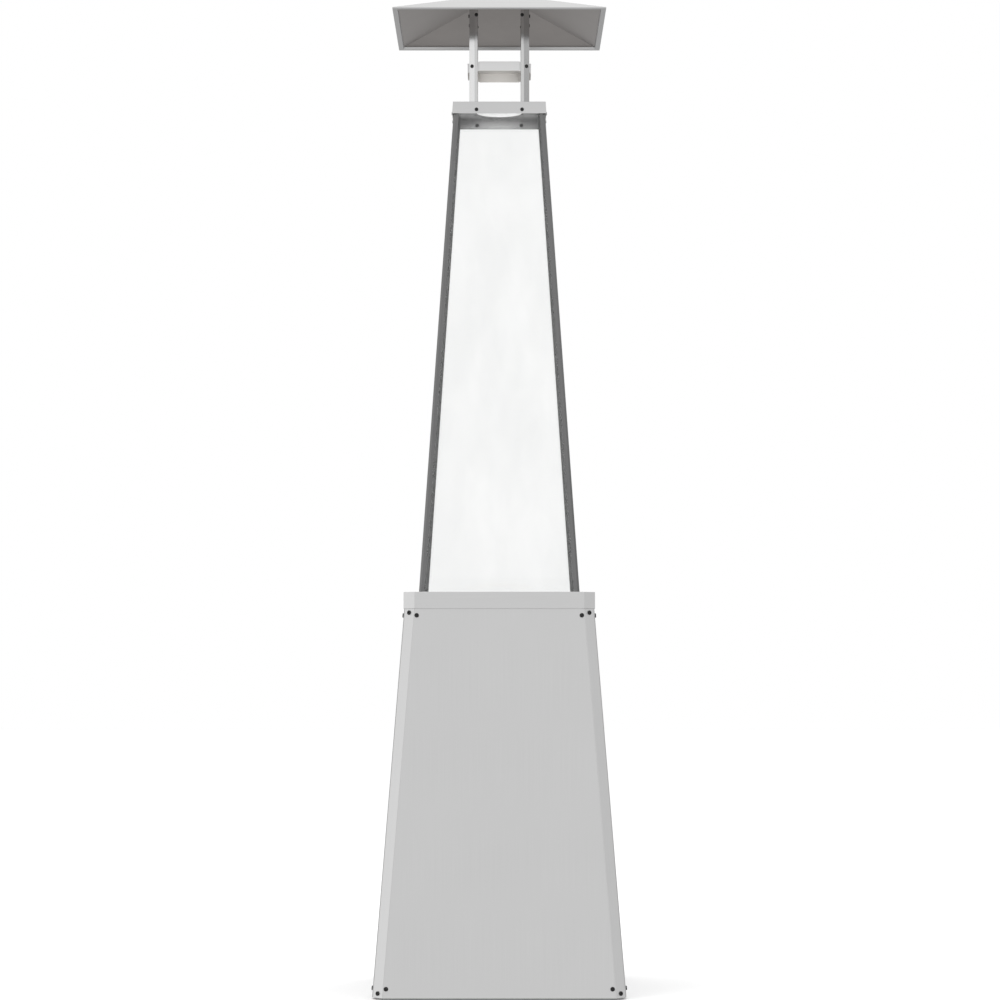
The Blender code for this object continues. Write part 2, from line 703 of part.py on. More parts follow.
def make_burner_head():
    low = PAN_FLOOR + GAP
    bore, ceiling = HEAD_RADIUS - HEAD_SHEET, HEAD_TOP - HEAD_SHEET
    head = spun(
        "burner_head",
        [(0, HEAD_TOP), (HEAD_RADIUS - HEAD_EDGE, HEAD_TOP), (HEAD_RADIUS, HEAD_TOP - HEAD_EDGE),
         (HEAD_RADIUS, low), (bore, low), (bore, ceiling - HEAD_EDGE), (bore - HEAD_EDGE, ceiling),
         (0, ceiling)], PLATED,
    )
    ports = bmesh.new()
    for radius, count in PORT_RINGS:
        for i in range(count):
            angle = 2 * math.pi * i / count
            place = Matrix.Translation(
                (radius * math.cos(angle), radius * math.sin(angle), HEAD_TOP))
            bmesh.ops.create_cone(
                ports, cap_ends=True, segments=8, radius1=PORT_RADIUS, radius2=PORT_RADIUS,
                depth=2 * CUTTER_REACH, matrix=place,
            )
    cut(head, finish_object("port_cutter", ports, PLATED))


def make_mixer_and_jet():
    bore = MIXER_RADIUS - MIXER_WALL
    bell_bore = MIXER_BELL_RADIUS - MIXER_WALL
    bell, neck = MIXER_BOTTOM + MIXER_BELL_HEIGHT, MIXER_BOTTOM + MIXER_NECK_HEIGHT
    spun(
        "mixer_tube",
        [(bell_bore, MIXER_BOTTOM), (MIXER_BELL_RADIUS, MIXER_BOTTOM), (MIXER_BELL_RADIUS, bell),
         (MIXER_RADIUS, neck), (MIXER_RADIUS, MIXER_TOP), (bore, MIXER_TOP), (bore, neck),
         (bell_bore, bell)], PLATED, SMALL_ROUND,
    )
    spun(
        "gas_jet",
        [(0, JET_BOTTOM), (JET_RADIUS, JET_BOTTOM), (JET_RADIUS, JET_TOP - JET_SHOULDER),
         (JET_RADIUS * 0.6, JET_TOP - JET_NOSE), (JET_RADIUS / 2, JET_TOP), (0, JET_TOP)],
        BRASS, SMALL_ROUND,
    )


def make_jet_bracket():
    """A strap bent in a U under the pan, which holds the jet under the mixer."""
    top = PAN_BOTTOM - GAP
    low = JET_BOTTOM + BRACKET_LIFT
    outer, inner = BRACKET_HALF, BRACKET_HALF - BRACKET_STRAP
    outline = [
        (-outer, low), (outer, low), (outer, top), (inner, top), (inner, low + BRACKET_STRAP),
        (-inner, low + BRACKET_STRAP), (-inner, top), (-outer, top),
    ]
    sides = [
        [(x, y, z) for x, z in outline] for y in (-BRACKET_WIDTH / 2, BRACKET_WIDTH / 2)
    ]
    bracket = stack("jet_bracket", sides, PLATED)
    cut_round(bracket, "bracket_cutter", JET_RADIUS + GAP, low)


def make_gas_pipe(valve_outlet):
    """The copper pipe from the back of the valve to the jet."""
    inwards = face_frame(KNOB_X, CONTROL_HEIGHT).to_3x3() @ Vector((0, 0, -1))
    jet = Vector((0, 0, JET_BOTTOM - GAP))
    drop = jet.z - 0.032
    route = [
        valve_outlet + inwards * PIPE_STUB,
        valve_outlet + inwards * 0.016,
        Vector((valve_outlet.x, valve_outlet.y - 0.044, (valve_outlet.z + drop) / 2)),
        Vector((valve_outlet.x * 0.6, valve_outlet.y * 0.42, drop + 0.006)),
        Vector((0.010, 0.014, drop)),
        Vector((0, 0, jet.z - 0.018)),
        jet - Vector((0, 0, PIPE_STUB)),
    ]
    curve = bpy.data.curves.new("gas_pipe", "CURVE")
    curve.dimensions = "3D"
    curve.bevel_depth = PIPE_RADIUS
    curve.bevel_resolution = 2
    curve.use_fill_caps = True
    smooth = [valve_outlet, *smooth_route(route, 5), jet]
    spline = curve.splines.new("POLY")
    spline.points.add(len(smooth) - 1)
    for point, place in zip(spline.points, smooth):
        point.co = (*place, 1.0)
    curve.materials.append(COPPER)
    pipe = bpy.data.objects.new("gas_pipe", curve)
    bpy.context.collection.objects.link(pipe)


def smooth_route(route, steps):
    """Points along a Catmull-Rom curve through the route."""
    padded = [2 * route[0] - route[1], *route, 2 * route[-1] - route[-2]]
    points = []
    for a, b, c, d in zip(padded, padded[1:], padded[2:], padded[3:]):
        for i in range(steps):
            t = i / steps
            points.append(
                0.5 * (2 * b + (c - a) * t + (2 * a - 5 * b + 4 * c - d) * t ** 2
                       + (3 * b - a - 3 * c + d) * t ** 3)
            )
    return [*points, route[-1]]


def make_ignition():
    """Pilot, electrode and thermocouple standing in the pan beside the burner head."""
    low = PAN_FLOOR + GAP
    top = CABINET_TOP
    pilot = spun(
        "pilot_burner",
        [(0, low), (0.0055, low), (0.0055, low + 0.008), (0.0035, low + 0.010),
         (0.0035, top - 0.012), (0.0050, top - 0.010), (0.0050, top - 0.003), (0, top - 0.003)],
        BRASS, SMALL_ROUND,
    )
    electrode = spun(
        "ignition_electrode",
        [(0, low), (0.0035, low), (0.0035, low + 0.028), (0.0012, low + 0.030),
         (0.0012, top - 0.001), (0, top - 0.001)], CERAMIC, SMALL_ROUND,
    )
    thermocouple = spun(
        "thermocouple",
        [(0, low), (0.0042, low), (0.0042, low + 0.012), (0.0024, low + 0.014),
         (0.0024, top - 0.006), (0.0010, top - 0.002), (0, top - 0.002)], COPPER, SMALL_ROUND,
    )
    for thing, degrees in ((pilot, 90), (electrode, 68), (thermocouple, 112)):
        angle = math.radians(degrees)
        thing.location = (IGNITION_RADIUS * math.cos(angle), IGNITION_RADIUS * math.sin(angle), 0)


def make_tilt_switch():
    top = CABINET_TOP - SHEET - GAP
    block("tilt_switch", (*TILT_SWITCH_LOW, top - TILT_SWITCH_HEIGHT), (*TILT_SWITCH_HIGH, top),
          BLACK_PLASTIC)


# ---------------------------------------------------------------- glass tower
def make_tower_posts():
    def section(z):
        return at_height(corner_angle(tower_half(z), POST_CHAMFER, POST_FACE - POST_CHAMFER,
                                      POST_SHEET), z)

    low, high = CABINET_TOP + GAP, CAP_TOP - SHEET - GAP
    for name, turns in CORNERS:
        post = stack(f"tall_post_{name}", [section(low), section(high)], POST_PAINT)
        turn_to_corner(post, turns)


def make_panes():
    """Four flat panes behind the posts' wings. Each stops short of the posts' folded corners."""
    face = POST_SHEET + GAP
    side = POST_CHAMFER + POST_SHEET * (math.sqrt(2) - 1) + 2 * GAP

    def ring(z):
        half = tower_half(z)
        wide, outer = half - side, half - face
        return at_height([(wide, outer - GLASS), (wide, outer), (-wide, outer),
                          (-wide, outer - GLASS)], z)

    low, high = CABINET_TOP + 2 * GAP, CAP_BOTTOM + GLASS_TUCK
    for name, turns in (("front", 0), ("left", 1), ("rear", 2), ("right", 3)):
        pane = stack(f"glass_pane_{name}", [ring(low), ring(high)], CLEAR_GLASS)
        turn_to_corner(pane, turns)


def make_top_cap():
    def ring(z, extra, height):
        return at_height(square(tower_half(z) + CAP_CLEARANCE + SHEET - extra), height)

    cap = stack(
        "top_cap",
        [ring(CAP_TOP, 0, CAP_TOP), ring(CAP_BOTTOM, 0, CAP_BOTTOM),
         ring(CAP_BOTTOM, SHEET, CAP_BOTTOM), ring(CAP_TOP, SHEET, CAP_TOP - SHEET)], STEEL,
    )
    cut_round(cap, "flue_cutter", FLUE_RADIUS + SHEET + GAP, CAP_TOP)
    flange = CAP_TOP + GAP
    hang = CAP_TOP - FLUE_HANG
    outer = FLUE_RADIUS + SHEET
    spun(
        "flue_collar",
        [(FLUE_RADIUS, hang), (outer, hang), (outer, flange), (outer + FLUE_FLANGE, flange),
         (outer + FLUE_FLANGE, flange + SHEET), (FLUE_RADIUS, flange + SHEET)], STEEL,
    )


# ---------------------------------------------------------------- neck and hood
def hood_underside(reach):
    """Height of the hood's lower surface at a distance from the axis."""
    wall = HOOD_SHEET * math.sqrt(1 + HOOD_SLOPE ** 2)
    return HOOD_EDGE + HOOD_LIP + HOOD_SLOPE * (HOOD_HALF - reach) - wall


def make_neck_posts():
    section = corner_angle(NECK_HALF, NECK_CHAMFER, NECK_WING, NECK_SHEET)
    low, high = CAP_TOP + GAP, hood_underside(NECK_HALF) - GAP
    for name, turns in CORNERS:
        post = stack(f"neck_post_{name}", [at_height(section, low), at_height(section, high)],
                     STEEL)
        turn_to_corner(post, turns)


def make_baffle():
    """A cross-shaped tray that fits inside the neck posts and reaches out between them."""
    reach = NECK_HALF + BAFFLE_REACH
    wide = NECK_HALF - NECK_CHAMFER - NECK_WING - BAFFLE_SEAM
    inner = NECK_HALF - NECK_SHEET - GAP
    fold = NECK_HALF - NECK_CHAMFER - (NECK_SHEET + GAP) * (math.sqrt(2) - 1)
    quadrant = [(reach, wide), (inner, wide), (inner, fold), (fold, inner), (wide, inner),
                (wide, reach)]
    outline = [turned(Vector(point), turn) for turn in range(4) for point in quadrant]
    under = inset(outline, BAFFLE_SHEET)
    top = CAP_TOP + BAFFLE_HEIGHT
    low = top - BAFFLE_FLANGE
    stack(
        "heat_baffle",
        [at_height(outline, top), at_height(outline, low), at_height(under, low),
         at_height(under, top - BAFFLE_SHEET)], STEEL,
    )


def make_hood():
    lip_top = HOOD_EDGE + HOOD_LIP
    inner_half = HOOD_HALF - HOOD_SHEET
    flange_half = HOOD_HALF - HOOD_FLANGE
    flange_top = HOOD_EDGE + HOOD_SHEET
    inner_tip = HOOD_TIP_HALF / 2
    levels = [
        (HOOD_TIP_HALF, HOOD_EDGE + HOOD_RISE), (HOOD_HALF, lip_top), (HOOD_HALF, HOOD_EDGE),
        (flange_half, HOOD_EDGE), (flange_half, flange_top), (inner_half, flange_top),
        (inner_half, hood_underside(inner_half)), (inner_tip, hood_underside(inner_tip)),
    ]
    stack("hood", [at_height(square(half), z) for half, z in levels], STEEL)


# ---------------------------------------------------------------- the whole heater
foot_reach = BASE_HALF - FOOT_INSET
for corner, turns in CORNERS:
    place = turned(Vector((foot_reach, foot_reach)), turns)
    make_foot(f"foot_{corner}", place.x, place.y)
tray_floor = make_bottom_tray()
make_bottle_ring(tray_floor)
make_columns()
make_panels()
make_front_rail()
make_lid()
make_door()
make_hinges()
make_latch()
make_control_panel()
outlet = make_gas_control()
make_igniter()
make_burner_pan()
make_burner_head()
make_mixer_and_jet()
make_jet_bracket()
make_gas_pipe(outlet)
make_ignition()
make_tilt_switch()
make_tower_posts()
make_panes()
make_top_cap()
make_neck_posts()
make_baffle()
make_hood()
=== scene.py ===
# %% [markdown]
# # A glass-tower patio heater
#
# The solids of the heater are already modelled. This lesson gives them their looks: sheet metal
# with folded edges, black screws, clear panes, a burner that has been hot, and a knob that was
# moulded. Every length is in metres, and Z points up. The side with the door faces +Y.

# %% Load the fixed frame
import json
import math

import bmesh
import bpy
from mathutils import Matrix, Vector


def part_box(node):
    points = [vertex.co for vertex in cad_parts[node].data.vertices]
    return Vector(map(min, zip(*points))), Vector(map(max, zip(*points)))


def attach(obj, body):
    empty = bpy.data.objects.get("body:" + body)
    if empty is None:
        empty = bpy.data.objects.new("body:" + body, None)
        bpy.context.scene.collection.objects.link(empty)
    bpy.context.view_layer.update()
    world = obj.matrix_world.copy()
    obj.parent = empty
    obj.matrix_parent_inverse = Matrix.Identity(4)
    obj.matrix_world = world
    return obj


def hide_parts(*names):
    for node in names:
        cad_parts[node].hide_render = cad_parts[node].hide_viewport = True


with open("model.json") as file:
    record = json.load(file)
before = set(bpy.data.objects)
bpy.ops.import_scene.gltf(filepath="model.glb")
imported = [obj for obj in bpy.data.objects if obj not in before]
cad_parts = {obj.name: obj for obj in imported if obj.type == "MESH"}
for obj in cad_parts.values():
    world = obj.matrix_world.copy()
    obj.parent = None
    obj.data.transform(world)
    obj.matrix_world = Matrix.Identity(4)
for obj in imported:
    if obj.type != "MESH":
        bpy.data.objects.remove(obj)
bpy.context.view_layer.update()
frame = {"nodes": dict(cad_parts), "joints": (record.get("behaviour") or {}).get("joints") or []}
NODES = frame["nodes"]

# %% [markdown]
# ## The view
#
# A long lens stands straight in front of the heater, at about a third of its height. Tilted up by
# three degrees it sees the hood from below and still shows the floor.

# %% Camera
CAMERA_PLACE = (0.0016, -7.142, 0.718)
CAMERA_TILT = math.radians(3.098)
CAMERA_LENS = 112.86  # millimetres
SENSOR_WIDTH = 36  # millimetres

camera_data = bpy.data.cameras.new("camera")
camera_data.lens = CAMERA_LENS
camera_data.sensor_width = SENSOR_WIDTH
camera_data.clip_end = 100
camera = bpy.data.objects.new("camera", camera_data)
camera.location = CAMERA_PLACE
camera.rotation_euler = (math.pi / 2 + CAMERA_TILT, 0, 0)
bpy.context.scene.collection.objects.link(camera)
bpy.context.scene.camera = camera
print("camera at", CAMERA_PLACE)

# %% [markdown]
# ## Measuring the frame
#
# The cabinet and the tower both taper, so a screw's place depends on its height. Rather than
# repeat the sizes, a small class reads a tapering piece's half width at its two ends and works
# out any height between them.

# %% Tapers read from the frame
SAME_LEVEL = 1e-5  # points nearer than this are taken to be level


class Taper:
    """The half width of a tapering body at any height, read from one of its pieces."""

    def __init__(self, node):
        points = [vertex.co for vertex in NODES[node].data.vertices]
        self.low = min(point.z for point in points)
        self.high = max(point.z for point in points)
        self.low_half = self.reach(points, self.low)
        self.high_half = self.reach(points, self.high)
        self.slope = (self.low_half - self.high_half) / (self.high - self.low)

    @staticmethod
    def reach(points, level):
        near = [max(abs(point.x), abs(point.y)) for point in points
                if abs(point.z - level) < SAME_LEVEL]
        return max(near)

    def half(self, z):
        return self.low_half - self.slope * (z - self.low)


cabinet = Taper("rear_panel")
tower = Taper("tall_post_front_right")
CHAMFER = cabinet.low_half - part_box("rear_panel")[1][0]  # leg of the cabinet's cut corners
LID_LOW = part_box("cabinet_lid")[0]
CAP_LOW, CAP_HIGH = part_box("top_cap")
NECK_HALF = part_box("neck_post_front_right")[1][0]
HOOD_LOW, HOOD_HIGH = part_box("hood")
JOINTS = {joint["name"]: joint for joint in frame["joints"]}
print("cabinet slope", round(cabinet.slope, 4), "chamfer", round(CHAMFER, 4))

# %% [markdown]
# ## Writing shader maths as Python
#
# A material is a graph of nodes. Wiring every Math node by hand hides the idea, so a socket is
# wrapped in a class that understands + - and *. An expression such as `1 - mask * 0.3` then adds
# its own nodes, and the graph reads like the formula that it is.


# %% A socket that can be used in arithmetic
class Signal:
    """One output of a shader node, with Python's operators."""

    def __init__(self, graph, socket):
        self.graph = graph
        self.socket = socket

    def math(self, operation, *others):
        inputs = dict(enumerate((self, *others)))
        return self.graph.add("ShaderNodeMath", {"operation": operation}, inputs)

    def __add__(self, other):
        return self.math("ADD", other)

    def __sub__(self, other):
        return self.math("SUBTRACT", other)

    def __mul__(self, other):
        return self.math("MULTIPLY", other)

    def __rsub__(self, other):
        return self.graph.add("ShaderNodeMath", {"operation": "SUBTRACT"}, {0: other, 1: self})

    __radd__ = __add__

    def clipped(self):
        return self.graph.add("ShaderNodeClamp", {}, {"Value": self})


# %% [markdown]
# A finish is one material being built. `add` takes a node's type, its settings and what goes into
# its sockets, numbers or signals alike, and gives back the node's output as a new signal.


# %% The graph and material builders
class Graph:
    """A tree of shader nodes."""

    def __init__(self, owner):
        owner.use_nodes = True
        self.tree = owner.node_tree

    def add(self, kind, settings, inputs, output=0):
        node = self.tree.nodes.new(kind)
        for name, value in settings.items():
            if name == "stops":
                self.set_stops(node, value)
            else:
                setattr(node, name, value)
        for key, value in inputs.items():
            self.feed(node.inputs[key], value)
        return Signal(self, node.outputs[output])

    def fade(self, value, start, end, first, last, kind="LINEAR"):
        """Goes from first to last while the value goes from start to end."""
        return self.add("ShaderNodeMapRange", {"interpolation_type": kind},
                        {0: value, 1: start, 2: end, 3: first, 4: last})

    def feed(self, socket, value):
        if isinstance(value, Signal):
            self.tree.links.new(value.socket, socket)
        else:
            socket.default_value = value

    @staticmethod
    def set_stops(node, stops):
        ramp = node.color_ramp
        while len(ramp.elements) < len(stops):
            ramp.elements.new(1.0)
        for element, (place, value) in zip(ramp.elements, stops):
            element.position = place
            element.color = (*value, 1.0)


class Finish(Graph):
    """A material whose Principled shader is fed by expressions."""

    def __init__(self, name, roughness, metallic=0.0, **even):
        self.material = bpy.data.materials.new(name)
        super().__init__(self.material)
        self.shader = self.tree.nodes["Principled BSDF"]
        self.shader.inputs["Roughness"].default_value = roughness
        self.shader.inputs["Metallic"].default_value = metallic
        for socket, value in even.items():
            self.shader.inputs[socket.replace("_", " ")].default_value = value

    def place(self, scale=(1, 1, 1)):
        """Object coordinates, stretched."""
        return self.stretched(self.add("ShaderNodeTexCoord", {}, {}, output="Object"), scale)

    def attribute(self, name, output="Vector"):
        return self.add("ShaderNodeAttribute", {"attribute_name": name}, {}, output=output)

    def stretched(self, vector, scale):
        return self.add("ShaderNodeMapping", {}, {"Vector": vector, "Scale": scale})

    def noise(self, vector, scale=1.0, detail=2.0, rough=0.5):
        return self.add("ShaderNodeTexNoise", {},
                        {"Vector": vector, "Scale": scale, "Detail": detail, "Roughness": rough})

    def blend(self, factor, first, second):
        """A colour between two colours."""
        return self.add("ShaderNodeMix", {"data_type": "RGBA"}, {0: factor, 6: first, 7: second},
                        output=2)

    def bump(self, height, strength, distance=0.0002):
        return self.add("ShaderNodeBump", {},
                        {"Height": height, "Strength": strength, "Distance": distance})

    def drive(self, **signals):
        for socket, signal in signals.items():
            self.feed(self.shader.inputs[socket.replace("_", " ")], signal)
        return self.material


def grey(level, tint=(1.0, 1.0, 1.0)):
    return (*(level * part for part in tint), 1.0)


# %% [markdown]
# ## Sheet steel with two sides
#
# The cabinet, the cap and the hood are thin stainless sheet. Its outer side is ground with a belt,
# which leaves hair lines hundreds of times longer than they are wide, so a noise is squeezed
# across the grain and stretched along it. The sheets lean and turn, and plain coordinates would
# cut the lines short, so each sheet gets an attribute called grain: where a point lies in its own
# flat sheet, with the third number running along the hair lines.
#
# The inner side was never ground. On the cabinet it keeps the smoother, cloudy finish of the
# rolling mill. Under the hood the flame has made it dull and slightly brown, and it is painted
# darker there as the shade under the hood. Inside the baffle it has burnt to a pale, matt scale.
# Inside the cap, light and shade are painted on it: light at the middles of the lower edge, darker
# towards the top and into the corners. The two sides are only a millimetre apart, too close for
# coordinates to tell them apart, so a second attribute, called inside, marks them.

# %% Sheet steel
HAIR = (900, 900, 5)  # hair lines in a metre: across, across and along
NEUTRAL, WARM = (1.0, 1.0, 1.0), (1.05, 0.99, 0.955)


class Inside:
    """How the unground side of a sheet looks."""

    def __init__(self, dark, light, roughness, metallic=1.0, tint=NEUTRAL, painted_shade_span=None):
        self.dark, self.light = grey(dark, tint), grey(light, tint)
        self.roughness = roughness
        self.metallic = metallic
        self.painted_shade_span = painted_shade_span  # two heights, then two reaches, over which the painted shade sets in

    def pattern(self, finish, drift):
        """Where the side is dark, 0, and where it is light, 1."""
        if not self.painted_shade_span:
            return drift
        (low, high), (near, far) = self.painted_shade_span
        height = finish.add("ShaderNodeSeparateXYZ", {}, {0: finish.place()}, output="Z")
        flat = finish.place((1, 1, 0))
        reach = finish.add("ShaderNodeVectorMath", {"operation": "LENGTH"}, {0: flat}, output=1)
        # Painted light and shade: light at the lower lip's middles, darker upwards and into the
        # corners.
        lip = finish.fade(height, low, high, 1.0, 0.0)
        middle = finish.fade(reach, near, far, 1.0, 0.45)
        return lip * middle * 0.9 + drift * 0.1


MILL_FINISH = Inside(0.54, 0.60, 0.24)


def sheet_steel(name, level=0.585, roughness=0.38, spread=0.07, inside=MILL_FINISH):
    finish = Finish(name, roughness, metallic=1.0)
    sheet = finish.attribute("grain")
    side = finish.attribute("inside", output="Fac")
    hair = finish.noise(finish.stretched(sheet, HAIR), detail=3.0, rough=0.6)
    cloud = finish.noise(sheet, scale=5.0, detail=2.0)
    drift = finish.noise(sheet, scale=14.0, detail=4.0, rough=0.6)
    ground = finish.blend(hair * 0.7 + cloud * 0.3, grey(level * (1 - spread)),
                          grey(level * (1 + spread)))
    rolled = finish.blend(inside.pattern(finish, drift), inside.dark, inside.light)
    ground_gloss = roughness - 0.05 + hair * 0.07 + cloud * 0.04
    rolled_gloss = inside.roughness - 0.04 + drift * 0.08
    return finish.drive(Base_Color=finish.blend(side, ground, rolled),
                        Roughness=ground_gloss * (1 - side) + rolled_gloss * side,
                        Metallic=1 - side * (1 - inside.metallic),
                        Normal=finish.bump(hair, 0.12))


STEEL = sheet_steel("satin_steel")
NECK_STEEL = sheet_steel("neck_steel", roughness=0.14)
# Inside the cap, light and shade are painted: light at the middles of the lower edge, darker
# towards the top and into the corners.
CAP_PAINTED_SHADE = ((CAP_LOW[2], CAP_HIGH[2] - 0.003), (CAP_HIGH[0], CAP_HIGH[0] * 1.35))
CAP_STEEL = sheet_steel("cap_steel", inside=Inside(0.30, 1.0, 0.2, painted_shade_span=CAP_PAINTED_SHADE))
# The hood's inside colours are darker as painted shade under the hood, and warm as the flame's
# stain.
HOOD_STEEL = sheet_steel("hood_steel", level=0.525, spread=0.05,
                         inside=Inside(0.29, 0.375, 0.42, tint=WARM))
# The baffle's ground side is painted lighter than the cabinet's steel, as painted light on its
# front under the hood.
BAFFLE_STEEL = sheet_steel("baffle_steel", level=0.785, roughness=0.46,
                           inside=Inside(0.54, 0.66, 0.6, metallic=0.1, tint=(1.03, 1.0, 0.96)))
# The collar is polished steel. It is painted near white, lighter than polished steel is, as a
# painted highlight, so its inner wall shows as a bright arc.
POLISHED_AND_HIGHLIT = sheet_steel("polished_highlit_steel", level=0.92, roughness=0.3, spread=0.03,
                       inside=Inside(0.90, 0.97, 0.35, metallic=0.4))
print("steel finishes:", [name for name in bpy.data.materials.keys() if "steel" in name])

# %% [markdown]
# ## The tower's dark posts
#
# The tall posts are the same sheet, coated dark. Baked coating flows a little before it sets and
# keeps a slight orange peel, so a soft noise bumps it. The bends were drawn through a die along
# the post, and a stretched noise lets those lines show through as darker and lighter streaks.

# %% Dark post coating
DRAWN = (220, 220, 1.2)  # drawn lines in a metre


def dark_coating():
    finish = Finish("dark_coating", 0.3, metallic=0.9)
    peel = finish.noise(finish.place(), scale=420, detail=1.0)
    sheet = finish.attribute("grain")
    drawn = finish.noise(finish.stretched(sheet, DRAWN), detail=1.0)
    worn = finish.noise(sheet, scale=9.0, detail=3.0)
    colour = finish.blend(drawn * 0.6 + worn * 0.4, grey(0.12, (1.0, 1.0, 1.01)), grey(0.21))
    return finish.drive(Base_Color=colour, Roughness=0.2 + worn * 0.14,
                        Normal=finish.bump(peel, 0.10))


DARK_COATING = dark_coating()

# %% [markdown]
# ## Clear panes
#
# A pane shows what is behind it, slightly dimmed by a film of dust, and mirrors a little of the
# room, more at a grazing angle. Real refraction would cost time and change nothing on a flat pane,
# so transparent shaders are mixed with a mirror. A broad noise wipes some patches of the dust
# clean. How much is mirrored grows with the slant of the view. The Fresnel node isn't used for
# it: a ray that crosses the pane unbent would meet the far side as if it were deep in glass, and
# that node would turn the whole pane into a mirror.

# %% Clear glass
PANE_TINT = (0.974, 0.976, 0.975, 1.0)
WIPED_TINT = (0.994, 0.995, 0.994, 1.0)
HEAD_ON = 0.035  # share mirrored when looked at squarely
GRAZING = 0.8  # and along the glass


def clear_glass():
    finish = Finish("clear_glass", 0.03)
    smear = finish.noise(finish.place((2.2, 2.2, 0.9)), scale=3.5, detail=3.0, rough=0.6)
    wiped = finish.fade(smear, 0.45, 0.68, 0.0, 1.0)
    dusty = finish.add("ShaderNodeBsdfTransparent", {}, {"Color": PANE_TINT})
    clean = finish.add("ShaderNodeBsdfTransparent", {}, {"Color": WIPED_TINT})
    seen_through = finish.add("ShaderNodeMixShader", {}, {0: wiped, 1: dusty, 2: clean})
    mirror = finish.add("ShaderNodeBsdfGlossy", {}, {"Color": grey(0.95), "Roughness": 0.04})
    slant = finish.add("ShaderNodeLayerWeight", {}, {"Blend": 0.5}, output="Facing")
    share = slant.math("POWER", 4.0) * GRAZING + HEAD_ON
    both = finish.add("ShaderNodeMixShader", {}, {0: share, 1: seen_through, 2: mirror})
    finish.feed(finish.tree.nodes["Material Output"].inputs["Surface"], both)
    return finish.material


CLEAR_GLASS = clear_glass()

# %% [markdown]
# ## Small hardware finishes
#
# Zinc plating crystallises in patches, machined brass keeps turning marks, moulded plastic has a
# fine spark texture, and rubber is dull and dusty. Each of these is one short function with the
# pattern that the process leaves.


# %% Plated steel, black screws, brass and copper
def zinc_plate():
    finish = Finish("zinc_plate", 0.42, metallic=1.0)
    patches = finish.add("ShaderNodeTexVoronoi", {"feature": "SMOOTH_F1"},
                         {"Vector": finish.place(), "Scale": 160}, output="Distance")
    colour = finish.blend(patches, grey(0.50, (0.98, 1.0, 1.03)), grey(0.62, (1.02, 1.0, 0.95)))
    return finish.drive(Base_Color=colour, Roughness=0.36 + patches * 0.16)


def blackened_steel():
    finish = Finish("blackened_steel", 0.4, metallic=0.6)
    grain = finish.noise(finish.place(), scale=900, detail=2.0)
    return finish.drive(Base_Color=finish.blend(grain, grey(0.012), grey(0.03)),
                        Roughness=0.32 + grain * 0.15)


def turned_metal(name, dark, light):
    finish = Finish(name, 0.3, metallic=1.0)
    marks = finish.noise(finish.place((60, 60, 1600)), detail=2.0)
    return finish.drive(Base_Color=finish.blend(marks, (*dark, 1.0), (*light, 1.0)),
                        Roughness=0.24 + marks * 0.14, Normal=finish.bump(marks, 0.15))


ZINC = zinc_plate()
BLACKENED = blackened_steel()
BRASS = turned_metal("turned_brass", (0.60, 0.42, 0.17), (0.78, 0.60, 0.30))
COPPER = turned_metal("drawn_copper", (0.56, 0.27, 0.17), (0.76, 0.43, 0.30))


# %% Rubber, moulded plastic and ceramic
def moulded(name, dark, light, roughness, grain_scale):
    finish = Finish(name, roughness)
    grain = finish.noise(finish.place(), scale=grain_scale, detail=2.0)
    dust = finish.noise(finish.place(), scale=30, detail=3.0)
    return finish.drive(Base_Color=finish.blend(dust, grey(dark), grey(light)),
                        Roughness=roughness - 0.05 + grain * 0.12,
                        Normal=finish.bump(grain, 0.25))


RUBBER = moulded("rubber", 0.018, 0.045, 0.8, 700)
PLASTIC = moulded("moulded_plastic", 0.012, 0.022, 0.42, 1800)
CERAMIC = moulded("glazed_ceramic", 0.72, 0.82, 0.25, 60)
WHITE_PAINT = moulded("white_paint", 0.70, 0.80, 0.5, 400)
BLACK_PAINT = moulded("black_paint", 0.02, 0.03, 0.5, 400)

# %% [markdown]
# ## A burner that has been hot
#
# Stainless steel that glows in use turns straw, brown and blue, in rings that follow the heat. On
# the burner head the colour depends on the distance from the axis, with a noise to make the rings
# uneven.

# %% Heat-tinted steel
HEAT_COLOURS = [
    (0.00, (0.34, 0.33, 0.36)), (0.35, (0.30, 0.33, 0.45)), (0.60, (0.45, 0.34, 0.30)),
    (0.80, (0.58, 0.49, 0.34)), (1.00, (0.56, 0.55, 0.53)),
]


def heat_tinted(reach):
    finish = Finish("heat_tinted_steel", 0.38, metallic=1.0)
    here = finish.place((1 / reach, 1 / reach, 0))
    wobble = finish.noise(finish.place(), scale=60, detail=3.0)
    distance = finish.add("ShaderNodeVectorMath", {"operation": "LENGTH"}, {0: here}, output=1)
    heat = (distance + wobble * 0.3 - 0.15).clipped()
    colour = finish.add("ShaderNodeValToRGB", {"stops": HEAT_COLOURS}, {"Fac": heat})
    return finish.drive(Base_Color=colour, Roughness=0.3 + wobble * 0.2)


HEAT_TINTED = heat_tinted(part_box("burner_pan")[1][0])

# %% [markdown]
# ## Folded sheet
#
# A sheet that is bent on a press never has a knife edge: its folds and its cut edges are slightly
# round, and that thin line of light is what the eye reads as metal. Each sheet piece is copied,
# its loose triangles are merged and dissolved back into flat faces, and its edges are bevelled.
# Only the bevels are shaded smooth. The broad faces stay flat, or their shading would lean
# towards the bevels and the sheet would look like a cushion.

# %% Sheets with rounded folds
SHEET = 0.0012
FOLD_ANGLE = math.radians(20)
FLAT_ANGLE = math.radians(0.5)  # faces that meet at less are one flat face
EDGE_ROUND = 0.0003
SAME_POINT = 2e-6
FACES_DOWN = -0.3  # height of the normal of a face that looks down


def finished_mesh(builder, name):
    mesh = bpy.data.meshes.new(name)
    builder.to_mesh(mesh)
    builder.free()
    return mesh


